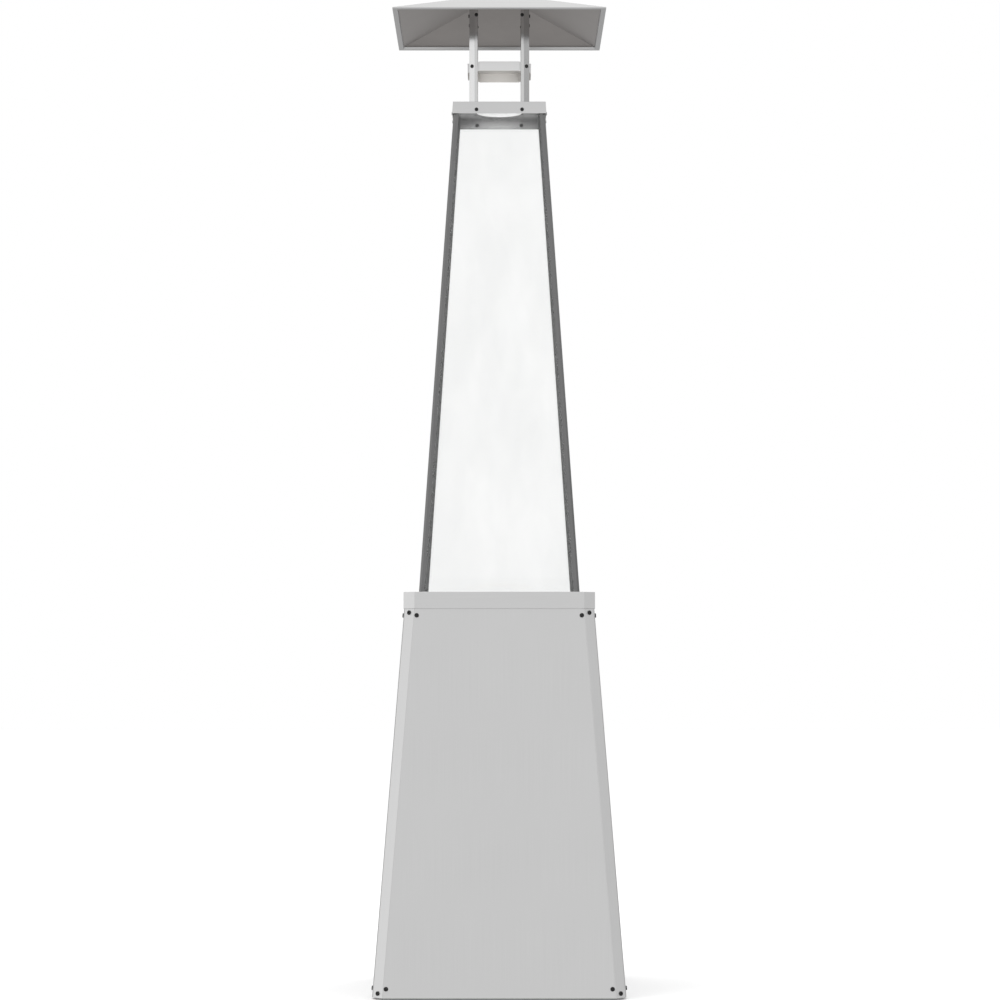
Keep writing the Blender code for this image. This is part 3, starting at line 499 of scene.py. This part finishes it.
def make_object(name, builder, material, body="cabinet", smooth_below=None):
    """Ends a bmesh: a linked object with one material that rides on a body of the frame.

    Faces that meet at fewer degrees than smooth_below are shaded as one round surface.
    """
    mesh = finished_mesh(builder, name)
    if smooth_below:
        mesh.shade_smooth()
        mesh.set_sharp_from_angle(angle=math.radians(smooth_below))
    mesh.materials.append(material)
    piece = bpy.data.objects.new(name, mesh)
    bpy.context.scene.collection.objects.link(piece)
    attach(piece, body)
    return piece


def stand_for(node):
    """The piece is shown instead of a node, which is hidden."""
    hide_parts(node)


def lay_grain(piece, along="z", taper=None, leaning=""):
    """Stores each point's place in its flat sheet, the third number along the grain."""
    order = {"x": (1, 2, 0), "y": (2, 0, 1), "z": (0, 1, 2)}[along]
    grain = piece.data.attributes.new("grain", "FLOAT_VECTOR", "POINT")
    for vertex, item in zip(piece.data.vertices, grain.data):
        point = vertex.co.copy()
        for axis in leaning:
            i = "xy".index(axis)
            point[i] -= math.copysign(taper.half(vertex.co.z), point[i])
        item.vector = [point[i] for i in order]
    return piece


def mark_inside(piece, faces_in):
    """Marks the faces for which the test holds as the unground side."""
    inside = piece.data.attributes.new("inside", "FLOAT", "FACE")
    for face, mark in zip(piece.data.polygons, inside.data):
        mark.value = float(faces_in(face))
    return piece


def to_axis(face):
    """Whether a face looks inwards or down."""
    return face.normal.xy.dot(face.center.xy) < -1e-6 or face.normal.z < FACES_DOWN


def merged_copy(node):
    """The node's mesh as flat faces instead of loose triangles."""
    builder = bmesh.new()
    builder.from_mesh(NODES[node].data)
    builder.verts.ensure_lookup_table()
    bmesh.ops.remove_doubles(builder, verts=builder.verts[:], dist=SAME_POINT)
    bmesh.ops.dissolve_limit(builder, angle_limit=FLAT_ANGLE, verts=builder.verts[:],
                             edges=builder.edges[:])
    return builder


def bevel(builder, edges, width, segments, clamp=False):
    made = bmesh.ops.bevel(builder, geom=edges, offset=width, offset_type="OFFSET",
                           affect="EDGES", segments=segments, profile=0.5, material=-1,
                           clamp_overlap=clamp)
    return made["faces"]


def round_edges(builder, width, segments=2, lowest=FOLD_ANGLE, highest=math.pi):
    chosen = [edge for edge in builder.edges
              if edge.is_manifold and lowest < edge.calc_face_angle() < highest]
    for face in bevel(builder, chosen, width, segments, clamp=True):
        face.smooth = True


def folded_sheet(node, material, body="cabinet", width=EDGE_ROUND):
    builder = merged_copy(node)
    round_edges(builder, width)
    piece = make_object(f"{node}_sheet", builder, material, body)
    stand_for(node)
    return piece


CORNERS = ("front_right", "front_left", "rear_left", "rear_right")
UPRIGHT_SHEETS = {"rear_panel": "y", "left_panel": "x", "right_panel": "x", "door_panel": "y",
                  "door_frame": "y"}
LEVEL_SHEETS = ("cabinet_lid", "control_panel", "front_rail", "bottom_tray")

for node, leaning in UPRIGHT_SHEETS.items():
    body = "door" if node.startswith("door") else "cabinet"
    mark_inside(lay_grain(folded_sheet(node, STEEL, body), "z", cabinet, leaning), to_axis)
for node in LEVEL_SHEETS:
    mark_inside(lay_grain(folded_sheet(node, STEEL), "x"), to_axis)
mark_inside(lay_grain(folded_sheet("top_cap", CAP_STEEL), "x"), to_axis)
mark_inside(lay_grain(folded_sheet("heat_baffle", BAFFLE_STEEL), "x"), to_axis)
for corner in CORNERS:
    column = lay_grain(folded_sheet(f"corner_column_{corner}", STEEL), "z", cabinet, "xy")
    mark_inside(column, to_axis)
    lay_grain(folded_sheet(f"tall_post_{corner}", DARK_COATING), "z", tower, "xy")
    mark_inside(lay_grain(folded_sheet(f"neck_post_{corner}", NECK_STEEL), "z"), to_axis)

# %% [markdown]
# ## The hood
#
# The pyramid is one sheet folded along its four hips, with its rim turned in all round and
# hemmed up against the sheet. The hips are wide, soft bends and the rim is tight, so the two are
# bevelled apart. The solid leaves the rim open above, so the hem is closed: the rim's inner edge
# is pushed up and a little inwards until it nearly meets the sheet.

# %% Hood
HIP_ROUND = 0.009
HEM_GAP = 0.0002  # left between the hem and the sheet
HEM_LEAN = 0.35  # how far the hem leans in for each unit it rises
HIP_ANGLES = (math.radians(15), math.radians(40))  # between which the four hips bend
RIM_ANGLE = math.radians(41)  # the rim's folds are sharper
RIM_TOP = HOOD_LOW[2] + SHEET
SHADE_AND_STAIN_FROM = RIM_TOP + 0.006  # the painted shade and the flame's stain start above the rim, which stays light


def close_hem(builder):
    """Pushes the rim's inner edge up against the sloping sheet."""
    above_rim = RIM_TOP + SAME_LEVEL
    inner = min(abs(vertex.co.x) for vertex in builder.verts if vertex.co.z < above_rim)
    sheet = [vertex.co for vertex in builder.verts if vertex.co.z > above_rim]
    wall = HOOD_HIGH[0] - SHEET
    foot = next(point for point in sheet if abs(abs(point.x) - wall) < SAME_LEVEL)
    tip = min(sheet, key=lambda point: abs(point.x))
    slope = (tip.z - foot.z) / (wall - abs(tip.x))
    move = (foot.z - RIM_TOP + slope * (wall - inner) - HEM_GAP) / (1 - HEM_LEAN * slope)
    for vertex in builder.verts:
        reach = max(abs(vertex.co.x), abs(vertex.co.y))
        if abs(vertex.co.z - RIM_TOP) < SAME_LEVEL and reach < inner + SAME_LEVEL:
            vertex.co.xy *= (inner - HEM_LEAN * move) / inner
            vertex.co.z += move
    print("hem pushed up by", round(move, 4))


def make_hood():
    builder = merged_copy("hood")
    close_hem(builder)
    round_edges(builder, HIP_ROUND, segments=4, lowest=HIP_ANGLES[0], highest=HIP_ANGLES[1])
    round_edges(builder, EDGE_ROUND, segments=1, lowest=RIM_ANGLE)
    hood = lay_grain(make_object("hood_sheet", builder, HOOD_STEEL), "x")
    # Faces that look down above the rim get the inside colours: painted shade and the flame's
    # stain.
    mark_inside(hood, lambda face: face.normal.z < FACES_DOWN and face.center.z > SHADE_AND_STAIN_FROM)
    stand_for("hood")


make_hood()

# %% [markdown]
# ## Screws
#
# The sheets are held by small black pan-head screws. One screw is modelled once: a disc whose top
# edge is rounded, and a hexagonal socket made by an inset that is pulled to six sides and pushed
# down. Stamping that mesh at each place keeps the whole set in one object.

# %% One pan-head screw
HEAD_RADIUS = 0.0050
HEAD_HEIGHT = 0.0027
SOCKET_RADIUS = 0.0024
ROUNDED_SHARE = 0.55  # of a head's height
SOCKET_SHARE = 0.6  # of a head's height


def add_disc(builder, segments, radius, depth, middle, top_radius=None):
    """An upright disc, or a stub of a cone when its top has a radius of its own."""
    bmesh.ops.create_cone(builder, cap_ends=True, segments=segments, radius1=radius,
                          radius2=top_radius or radius, depth=depth,
                          matrix=Matrix.Translation(middle))


def top_face(builder):
    return max(builder.faces, key=lambda face: (face.calc_center_median().z, face.calc_area()))


def hexagon_reach(angle):
    """Distance from a hexagon's middle to its side, for a hexagon of unit corner radius."""
    third = math.pi / 3
    return math.cos(third / 2) / math.cos(angle % third - third / 2)


def screw_mesh(radius=HEAD_RADIUS, height=HEAD_HEIGHT, socket=SOCKET_RADIUS):
    builder = bmesh.new()
    add_disc(builder, 24, radius, height, (0, 0, height / 2))
    bevel(builder, list(top_face(builder).edges), height * ROUNDED_SHARE, 3)
    top = top_face(builder)
    room = math.dist((0, 0), top.verts[0].co.xy) - socket
    bmesh.ops.inset_region(builder, faces=[top], thickness=room, use_even_offset=True)
    for vertex in top.verts:
        angle = math.atan2(vertex.co.y, vertex.co.x)
        vertex.co.xy = vertex.co.xy.normalized() * socket * hexagon_reach(angle)
    wall = bmesh.ops.extrude_face_region(builder, geom=[top])
    floor = [item for item in wall["geom"] if isinstance(item, bmesh.types.BMVert)]
    bmesh.ops.delete(builder, geom=[top], context="FACES_ONLY")
    bmesh.ops.translate(builder, verts=floor, vec=(0, 0, -height * SOCKET_SHARE))
    bmesh.ops.recalc_face_normals(builder, faces=builder.faces[:])
    return finished_mesh(builder, "screw")


SCREW = screw_mesh()
SMALL_SCREW = screw_mesh(radius=0.0042, height=0.0022, socket=0.0019)
TINY_SCREW = screw_mesh(radius=0.0028, height=0.0014, socket=0.0013)
print("faces in a screw:", len(SCREW.polygons))


# %% Stamping a mesh at many places
def stamped(name, mesh, places, material, body="cabinet"):
    builder = bmesh.new()
    for place in places:
        known = len(builder.verts)
        builder.from_mesh(mesh)
        builder.verts.ensure_lookup_table()
        bmesh.ops.transform(builder, matrix=place, verts=builder.verts[known:])
    piece = make_object(name, builder, material, body, smooth_below=40)
    return piece


def quarter(turns):
    return Matrix.Rotation(turns * math.pi / 2, 4, "Z")


def on_side(taper, turns, across, z):
    """A place on a tapering side: local Z points out of it. Turns 0 is the +Y side."""
    lean = math.atan(taper.slope)
    out = Matrix.Rotation(-math.pi / 2 + lean, 4, "X")
    spot = Matrix.Translation((across, taper.half(z), z))
    return quarter(turns) @ spot @ out


def on_corner(half, chamfer, turns, z, lean=0.0):
    """A place on a cut corner. Turns 0 is the +X +Y corner."""
    spot = Matrix.Translation((half - chamfer / 2, half - chamfer / 2, z))
    out = Matrix.Rotation(-math.pi / 4, 4, "Z") @ Matrix.Rotation(-math.pi / 2 + lean, 4, "X")
    return quarter(turns) @ spot @ out


# %% [markdown]
# Each plain side has four screws through the panel into the corner columns' wings, and each cut
# corner has one at its top and one at its foot. On the service side the same columns carry the
# control panel and the rail under the door, and two more screws hold the control panel's foot.

# %% Cabinet screws
WING_REACH = 0.0055  # from a panel's edge to its screws
TOP_SCREW = LID_LOW[2] - 0.015
FOOT_SCREW = 0.024
CORNER_TOP_SCREW = LID_LOW[2] - 0.009
CORNER_FOOT_SCREW = 0.0135
CONTROL_FOOT_SCREW = 0.756

places = []
for turns in range(4):
    for z in (TOP_SCREW, FOOT_SCREW):
        reach = cabinet.half(z) - CHAMFER - WING_REACH
        places += [on_side(cabinet, turns, side * reach, z) for side in (-1, 1)]
    for z in (CORNER_TOP_SCREW, CORNER_FOOT_SCREW):
        places.append(on_corner(cabinet.half(z), CHAMFER, turns, z, math.atan(cabinet.slope)))
reach = cabinet.half(CONTROL_FOOT_SCREW) - CHAMFER - WING_REACH
places += [on_side(cabinet, 0, side * reach, CONTROL_FOOT_SCREW) for side in (-1, 1)]
stamped("cabinet_screws", SCREW, places, BLACKENED)
print("cabinet screws:", len(places))

# %% Cap, neck and hood screws
CAP_SCREW_ACROSS = 0.0516
CAP_SCREW = CAP_LOW[2] + 0.009
BAFFLE_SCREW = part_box("heat_baffle")[1][2] - 0.009
NECK_CHAMFER = 0.0125
HOOD_SCREW_ACROSS = 0.0522
HOOD_SCREW = HOOD_LOW[2] + 0.021

cap = Taper("top_cap")
places = [on_side(cap, turns, side * CAP_SCREW_ACROSS, CAP_SCREW)
          for turns in range(4) for side in (-1, 1)]
stamped("cap_screws", SMALL_SCREW, places, BLACKENED)


def nut_mesh(corner=0.0046, height=0.0026, shank=0.0020, tail=0.0030, sunk=0.0010):
    """A hexagonal nut with the screw's end standing out of it, along local Z."""
    builder = bmesh.new()
    add_disc(builder, 6, corner, height, (0, 0, height / 2))
    bevel(builder, list(top_face(builder).edges), height * 0.15, 1)
    add_disc(builder, 12, shank, tail, (0, 0, height + tail / 2 - sunk), top_radius=shank * 0.8)
    return finished_mesh(builder, "nut")


turn_round = Matrix.Rotation(math.pi, 4, "X")
places = [place @ Matrix.Translation((0, 0, -SHEET)) @ turn_round for place in places]
stamped("cap_nuts", nut_mesh(), places, BLACKENED)

places = [on_corner(NECK_HALF, NECK_CHAMFER, turns, BAFFLE_SCREW) for turns in range(4)]
stamped("baffle_screws", SMALL_SCREW, places, BLACKENED)


def on_flat(half, turns, across, z):
    """A place on an upright side. Turns 0 is the +Y side."""
    return (quarter(turns) @ Matrix.Translation((across, half, z))
            @ Matrix.Rotation(-math.pi / 2, 4, "X"))


places = [on_flat(NECK_HALF, turns, side * HOOD_SCREW_ACROSS, HOOD_SCREW)
          for turns in range(4) for side in (-1, 1)]
stamped("hood_screws", SMALL_SCREW, places, BLACKENED)

# %% [markdown]
# ## Turned and spun pieces
#
# The collar, the burner pan, the bottle ring, the feet and the small fittings are round, and the
# solids have only a few flats round them. Each is turned again on a finer lathe: the solid is cut
# by a plane through its axis, the outline that is left is spun with many more steps, and the sharp
# edges are broken.

# %% A finer lathe
ON_PLANE = 2e-5  # points nearer to the cutting plane lie on it
SEAM = 5e-6  # points nearer to each other are joined after the spin
LATHE_EDGE = math.radians(25)  # sharper edges are broken


def lathe(node, material, body="cabinet", place=None, steps=96, edge=0.0004):
    """Replaces a round node by its own section, spun about the place's local Z."""
    place = place or Matrix()
    builder = merged_copy(node)
    bmesh.ops.transform(builder, matrix=place.inverted(), verts=builder.verts[:])
    for direction, both in (((-1, 0, 0), False), ((0, 1, 0), True)):
        everything = builder.verts[:] + builder.edges[:] + builder.faces[:]
        bmesh.ops.bisect_plane(builder, geom=everything, plane_co=(0, 0, 0), plane_no=direction,
                               dist=ON_PLANE, clear_outer=True, clear_inner=both)
    bmesh.ops.spin(builder, geom=builder.verts[:] + builder.edges[:], cent=(0, 0, 0),
                   axis=(0, 0, 1), angle=2 * math.pi, steps=steps, use_merge=True)
    bmesh.ops.remove_doubles(builder, verts=builder.verts[:], dist=SEAM)
    bmesh.ops.recalc_face_normals(builder, faces=builder.faces[:])
    round_edges(builder, edge, lowest=LATHE_EDGE)
    bmesh.ops.transform(builder, matrix=place, verts=builder.verts[:])
    piece = make_object(f"{node}_turned", builder, material, body, smooth_below=40)
    stand_for(node)
    return piece


def axis_of(node):
    """An upright axis through the middle of a node."""
    low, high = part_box(node)
    return Matrix.Translation(((low[0] + high[0]) / 2, (low[1] + high[1]) / 2, 0))


mark_inside(lay_grain(lathe("flue_collar", POLISHED_AND_HIGHLIT), "x"), to_axis)
lathe("burner_pan", HEAT_TINTED)
lathe("bottle_ring", ZINC)
lathe("mixer_tube", ZINC)
lathe("gas_jet", BRASS)
for node, material in (("pilot_burner", BRASS), ("thermocouple", COPPER),
                       ("ignition_electrode", CERAMIC)):
    lathe(node, material, place=axis_of(node), steps=32)
for corner in CORNERS:
    lathe(f"foot_{corner}", RUBBER, place=axis_of(f"foot_{corner}"), steps=64, edge=0.001)

# %% [markdown]
# ## The service side
#
# The controls sit on the sloping panel above the door. Frames on that slope, with local Z pointing
# out of it, are read from the joints and from the igniter's button, so that parts can be modelled
# flat and then put in their place.

# %% Frames on the sloping panel
knob_x, _, knob_z = JOINTS["knob_turn"]["pos_m"]
latch_x, _, latch_z = JOINTS["latch_turn"]["pos_m"]
igniter_low, igniter_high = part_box("igniter_button")
KNOB_PLACE = on_side(cabinet, 0, knob_x, knob_z)
IGNITER_PLACE = on_side(cabinet, 0, (igniter_low[0] + igniter_high[0]) / 2, knob_z)
LATCH_PLACE = on_side(cabinet, 0, latch_x, latch_z)
lathe("igniter_body", PLASTIC, place=IGNITER_PLACE, steps=64)
lathe("igniter_button", PLASTIC, body="igniter_button", place=IGNITER_PLACE, steps=64,
      edge=0.0009)
lathe("latch_barrel", ZINC, body="door", place=LATCH_PLACE, steps=64)
lathe("push_sleeve", ZINC, body="knob_slide", place=KNOB_PLACE, steps=48)
print("knob frame at", [round(part, 4) for part in KNOB_PLACE.translation])

# %% [markdown]
# The knob is moulded with a flared skirt, shallow flutes for the fingers and a raised bar to turn
# it by. Its body starts as a circle that is extruded and scaled ring by ring. The flutes are then
# pressed in by moving every third column of points towards the axis, which is what the mould's
# ribs do.

# %% Fluted gas knob
KNOB_LOW = 0.0045  # from the panel to the skirt
KNOB_RINGS = ((0.0226, 0.0), (0.0230, 0.0008), (0.0230, 0.0026), (0.0212, 0.0048),
              (0.0206, 0.0060), (0.0192, 0.0140), (0.0186, 0.0158), (0.0168, 0.0170))
FLUTES = 24
COLUMNS = 3 * FLUTES  # points round the knob
FLUTE_DEPTH = 0.0007
FLUTE_LOW, FLUTE_HIGH = KNOB_RINGS[4][1] - 1e-6, KNOB_RINGS[6][1] + 1e-6
BAR_HALF_WIDTH, BAR_HALF_LENGTH = 0.0040, 0.0170
BAR_LOW, BAR_TOP = 0.0120, 0.0205
BAR_TAPER = (0.8, 0.94)  # its top's width and length, as shares of its foot's
BAR_ROUND = 0.0008


def lift_ring(builder, face, radius, rise):
    """Extrudes a level face upwards and sets the new ring's radius."""
    old = math.dist((0, 0), face.verts[0].co.xy)
    made = bmesh.ops.extrude_discrete_faces(builder, faces=[face])["faces"][0]
    bmesh.ops.translate(builder, verts=made.verts[:], vec=(0, 0, rise))
    bmesh.ops.scale(builder, verts=made.verts[:], vec=(radius / old, radius / old, 1))
    return made


def make_knob():
    builder = bmesh.new()
    bmesh.ops.create_circle(builder, cap_ends=True, segments=COLUMNS, radius=KNOB_RINGS[0][0])
    face = builder.faces[:][0]
    if face.normal.z < 0:
        face.normal_flip()
    bottom = face.copy()
    bottom.normal_flip()
    height = 0.0
    for radius, level in KNOB_RINGS[1:]:
        face = lift_ring(builder, face, radius, level - height)
        height = level
    bmesh.ops.remove_doubles(builder, verts=builder.verts[:], dist=1e-6)
    step = 2 * math.pi / COLUMNS
    for vertex in builder.verts:
        column = round(math.atan2(vertex.co.y, vertex.co.x) / step)
        if column % 3 == 0 and FLUTE_LOW < vertex.co.z < FLUTE_HIGH:
            vertex.co.xy *= 1 - FLUTE_DEPTH / vertex.co.xy.length
    bar_size = (BAR_HALF_WIDTH, BAR_HALF_LENGTH, (BAR_TOP - BAR_LOW) / 2)
    bar_place = Matrix.LocRotScale((0, 0, (BAR_TOP + BAR_LOW) / 2), None, bar_size)
    bar = bmesh.ops.create_cube(builder, size=2, matrix=bar_place)
    for vertex in bar["verts"]:
        if vertex.co.z > height:
            vertex.co.x *= BAR_TAPER[0]
            vertex.co.y *= BAR_TAPER[1]
    edges = {edge for vertex in bar["verts"] for edge in vertex.link_edges}
    bevel(builder, list(edges), BAR_ROUND, 3)
    bmesh.ops.recalc_face_normals(builder, faces=builder.faces[:])
    place = KNOB_PLACE @ Matrix.Translation((0, 0, KNOB_LOW))
    bmesh.ops.transform(builder, matrix=place, verts=builder.verts[:])
    knob = make_object("gas_knob_moulding", builder, PLASTIC, "knob", smooth_below=35)
    stand_for("gas_knob")


make_knob()

# %% Pointer line on the knob
POINTER_MIDDLE = (0, 0.0105, BAR_TOP + KNOB_LOW + 0.00008)
POINTER_HALF_SIZE = (0.0007, 0.0045)
POINTER_THICKNESS = 0.00015
POINTER_CORNER = 0.0005


def make_pointer():
    """A thin printed bar with rounded corners, level on the grip bar."""
    builder = bmesh.new()
    size = (*POINTER_HALF_SIZE, POINTER_THICKNESS / 2)
    cube = bmesh.ops.create_cube(builder, size=2,
                                 matrix=Matrix.LocRotScale(POINTER_MIDDLE, None, size))
    upright = {edge for vertex in cube["verts"] for edge in vertex.link_edges
               if abs(edge.verts[0].co.z - edge.verts[1].co.z) > POINTER_THICKNESS / 2}
    bevel(builder, list(upright), POINTER_CORNER, 3)
    bmesh.ops.transform(builder, matrix=KNOB_PLACE, verts=builder.verts[:])
    pointer = make_object("knob_pointer", builder, WHITE_PAINT, "knob")


make_pointer()

# %% [markdown]
# The panel is printed with a plain scale: dots that grow from off to full, over the half turn
# that the knob makes. They carry no words, so any maker could have printed them.

# %% Printed scale round the knob
SCALE_RADIUS = 0.0305
SCALE_STEPS = 9
DOT_SIZES = (0.0008, 0.0019)
PRINT_THICKNESS = 0.00012


def make_scale():
    builder = bmesh.new()
    for step in range(SCALE_STEPS):
        share = step / (SCALE_STEPS - 1)
        angle = math.pi / 2 + share * math.pi  # the knob turns the same way about its axis
        size = DOT_SIZES[0] + share * (DOT_SIZES[1] - DOT_SIZES[0])
        spot = (SCALE_RADIUS * math.cos(angle), SCALE_RADIUS * math.sin(angle), PRINT_THICKNESS / 2)
        add_disc(builder, 20, size, PRINT_THICKNESS, spot)
    bmesh.ops.transform(builder, matrix=KNOB_PLACE, verts=builder.verts[:])
    scale = make_object("knob_scale_print", builder, BLACK_PAINT)


make_scale()

# %% [markdown]
# ## Latch and hinges
#
# The latch's T handle and its cam are small castings, so a wide bevel takes the block look away.
# The hinge leaves are stamped plate with two screws each. Of a leaf's two largest faces the outer
# side is the one that looks away from the heater's middle. The screws stand on that face's normal,
# either side of its middle along the pin.

# %% Latch handle, cam and hinge hardware
HANDLE_ROUND = 0.0012
CAM_ROUND = 0.0006
LEAF_ROUND = 0.0002

folded_sheet("latch_handle", PLASTIC, "latch", HANDLE_ROUND)
folded_sheet("latch_cam", ZINC, "latch", CAM_ROUND)
for level in ("lower", "upper"):
    for part, body in (("column_leaf", "cabinet"), ("door_leaf", "door"), ("pin", "cabinet")):
        folded_sheet(f"hinge_{part}_{level}", ZINC, body, LEAF_ROUND)

HINGE_SCREW_SPREAD = 0.019


def leaf_places(node):
    """Two screw places on a leaf's outer side."""
    builder = merged_copy(node)
    faces = sorted(builder.faces, key=lambda face: -face.calc_area())[:2]
    face = max(faces, key=lambda item: item.normal.dot(item.calc_center_median()))
    normal, middle = face.normal.copy(), face.calc_center_median()
    builder.free()
    along = Vector(JOINTS["door_hinge"]["axis"])
    turn = Matrix((along, normal.cross(along), normal)).transposed().to_4x4()
    return [Matrix.Translation(middle + along * side * HINGE_SCREW_SPREAD) @ turn
            for side in (-1, 1)]


for body, part in (("cabinet", "column_leaf"), ("door", "door_leaf")):
    places = [place for level in ("lower", "upper")
              for place in leaf_places(f"hinge_{part}_{level}")]
    stamped(f"hinge_screws_{body}", TINY_SCREW, places, ZINC, body)

# %% [markdown]
# ## Finishes for the pieces that keep their shape
#
# The remaining solids are already right, so each only gets its finish. One table names them.

# %% Finishes by node
KEPT = {
    **{f"glass_pane_{side}": CLEAR_GLASS for side in ("front", "left", "rear", "right")},
    "burner_head": HEAT_TINTED, "jet_bracket": ZINC,
    "valve_body": BRASS, "valve_spindle": BRASS, "inlet_nipple": BRASS, "gas_pipe": COPPER,
    "tilt_switch": PLASTIC,
}
for node, material in KEPT.items():
    mesh = NODES[node].data
    mesh.materials.clear()
    mesh.materials.append(material)
print("nodes with a new finish:", len(KEPT))

# %% [markdown]
# ## Studio
#
# The heater stands in a white room. Metal shows what is around it, so the room has a tall window
# on the left and a grey curtain on the right, dense above eye level and thin below it, a bright
# ceiling, and less light below, where the floor falls into the heater's own shade. The broad sides
# see only the even white in front. A small light from below reaches in under the cap and the
# baffle.

# %% Floor and room
FLOOR_HALF = 30
SOFT = "SMOOTHSTEP"

# Where each part of the room starts and ends, as a direction, and its strength at either place
DIM_BELOW = (-0.62, -0.12, 0.6, 1.0)
CEILING = (0.5, 0.85, 0.0, 0.25)
WINDOW = (-0.995, -0.95, 0.34, 0.0)
CURTAIN = (0.962, 0.996, 0.0, 1.0)
CURTAIN_WEIGHT = (0.09, 0.19, 0.11, 0.72)
FRONT_DIP = 0.45  # how much lower the dim part starts in front
SIDE_FALL = 0.02  # how much the light falls off to the right


def make_floor():
    builder = bmesh.new()
    bmesh.ops.create_grid(builder, x_segments=1, y_segments=1, size=FLOOR_HALF)
    mesh = finished_mesh(builder, "floor")
    mesh.materials.append(Finish("floor_paint", 0.9, Base_Color=grey(0.93)).material)
    floor = bpy.data.objects.new("floor", mesh)
    bpy.context.scene.collection.objects.link(floor)
    floor.visible_glossy = False


def make_room():
    world = bpy.data.worlds.new("white_room")
    bpy.context.scene.world = world
    world.use_nodes = True
    room = Graph(world)
    here = room.add("ShaderNodeTexCoord", {}, {}, output="Generated")
    sideways = room.add("ShaderNodeSeparateXYZ", {}, {0: here}, output="X")
    height = room.add("ShaderNodeSeparateXYZ", {}, {0: here}, output="Z")
    front = room.add("ShaderNodeSeparateXYZ", {}, {0: here}, output="Y")
    below = room.fade(height - front * FRONT_DIP, *DIM_BELOW, SOFT)
    above = room.fade(height, *CEILING, SOFT)
    window = room.fade(sideways, *WINDOW, SOFT)
    curtain = room.fade(sideways, *CURTAIN, SOFT)
    weight = room.fade(height, *CURTAIN_WEIGHT, SOFT)
    around = below + above + window - curtain * weight - sideways * SIDE_FALL
    seen = room.add("ShaderNodeLightPath", {}, {}, output="Is Camera Ray")
    strength = room.add("ShaderNodeMix", {}, {0: seen, 2: around, 3: 1.0})
    background = room.tree.nodes["Background"]
    background.inputs["Color"].default_value = grey(1.0)
    room.feed(background.inputs["Strength"], strength)


def soft_light(name, place, aim, size, power, spread=math.pi):
    data = bpy.data.lights.new(name, "AREA")
    data.size = size
    data.energy = power
    data.spread = spread
    light = bpy.data.objects.new(name, data)
    light.location = place
    light.rotation_euler = (Vector(aim) - Vector(place)).to_track_quat("-Z", "Y").to_euler()
    bpy.context.scene.collection.objects.link(light)
    return light


make_floor()
make_room()
soft_light("key_light", (-2.2, -1.6, 6.0), aim=(0, 0, 1.0), size=2.0, power=60)
soft_light("back_light", (2.2, 2.4, 5.6), aim=(0, 0, 1.2), size=2.0, power=45)
neck_light = soft_light("neck_light", (0, -1.7, 0.4), aim=(0, 0, 2.08), size=0.5, power=1.9,
                        spread=math.radians(40))
neck_light.visible_glossy = False  # or it would glint in every fold
bpy.context.scene.view_settings.view_transform = "Standard"
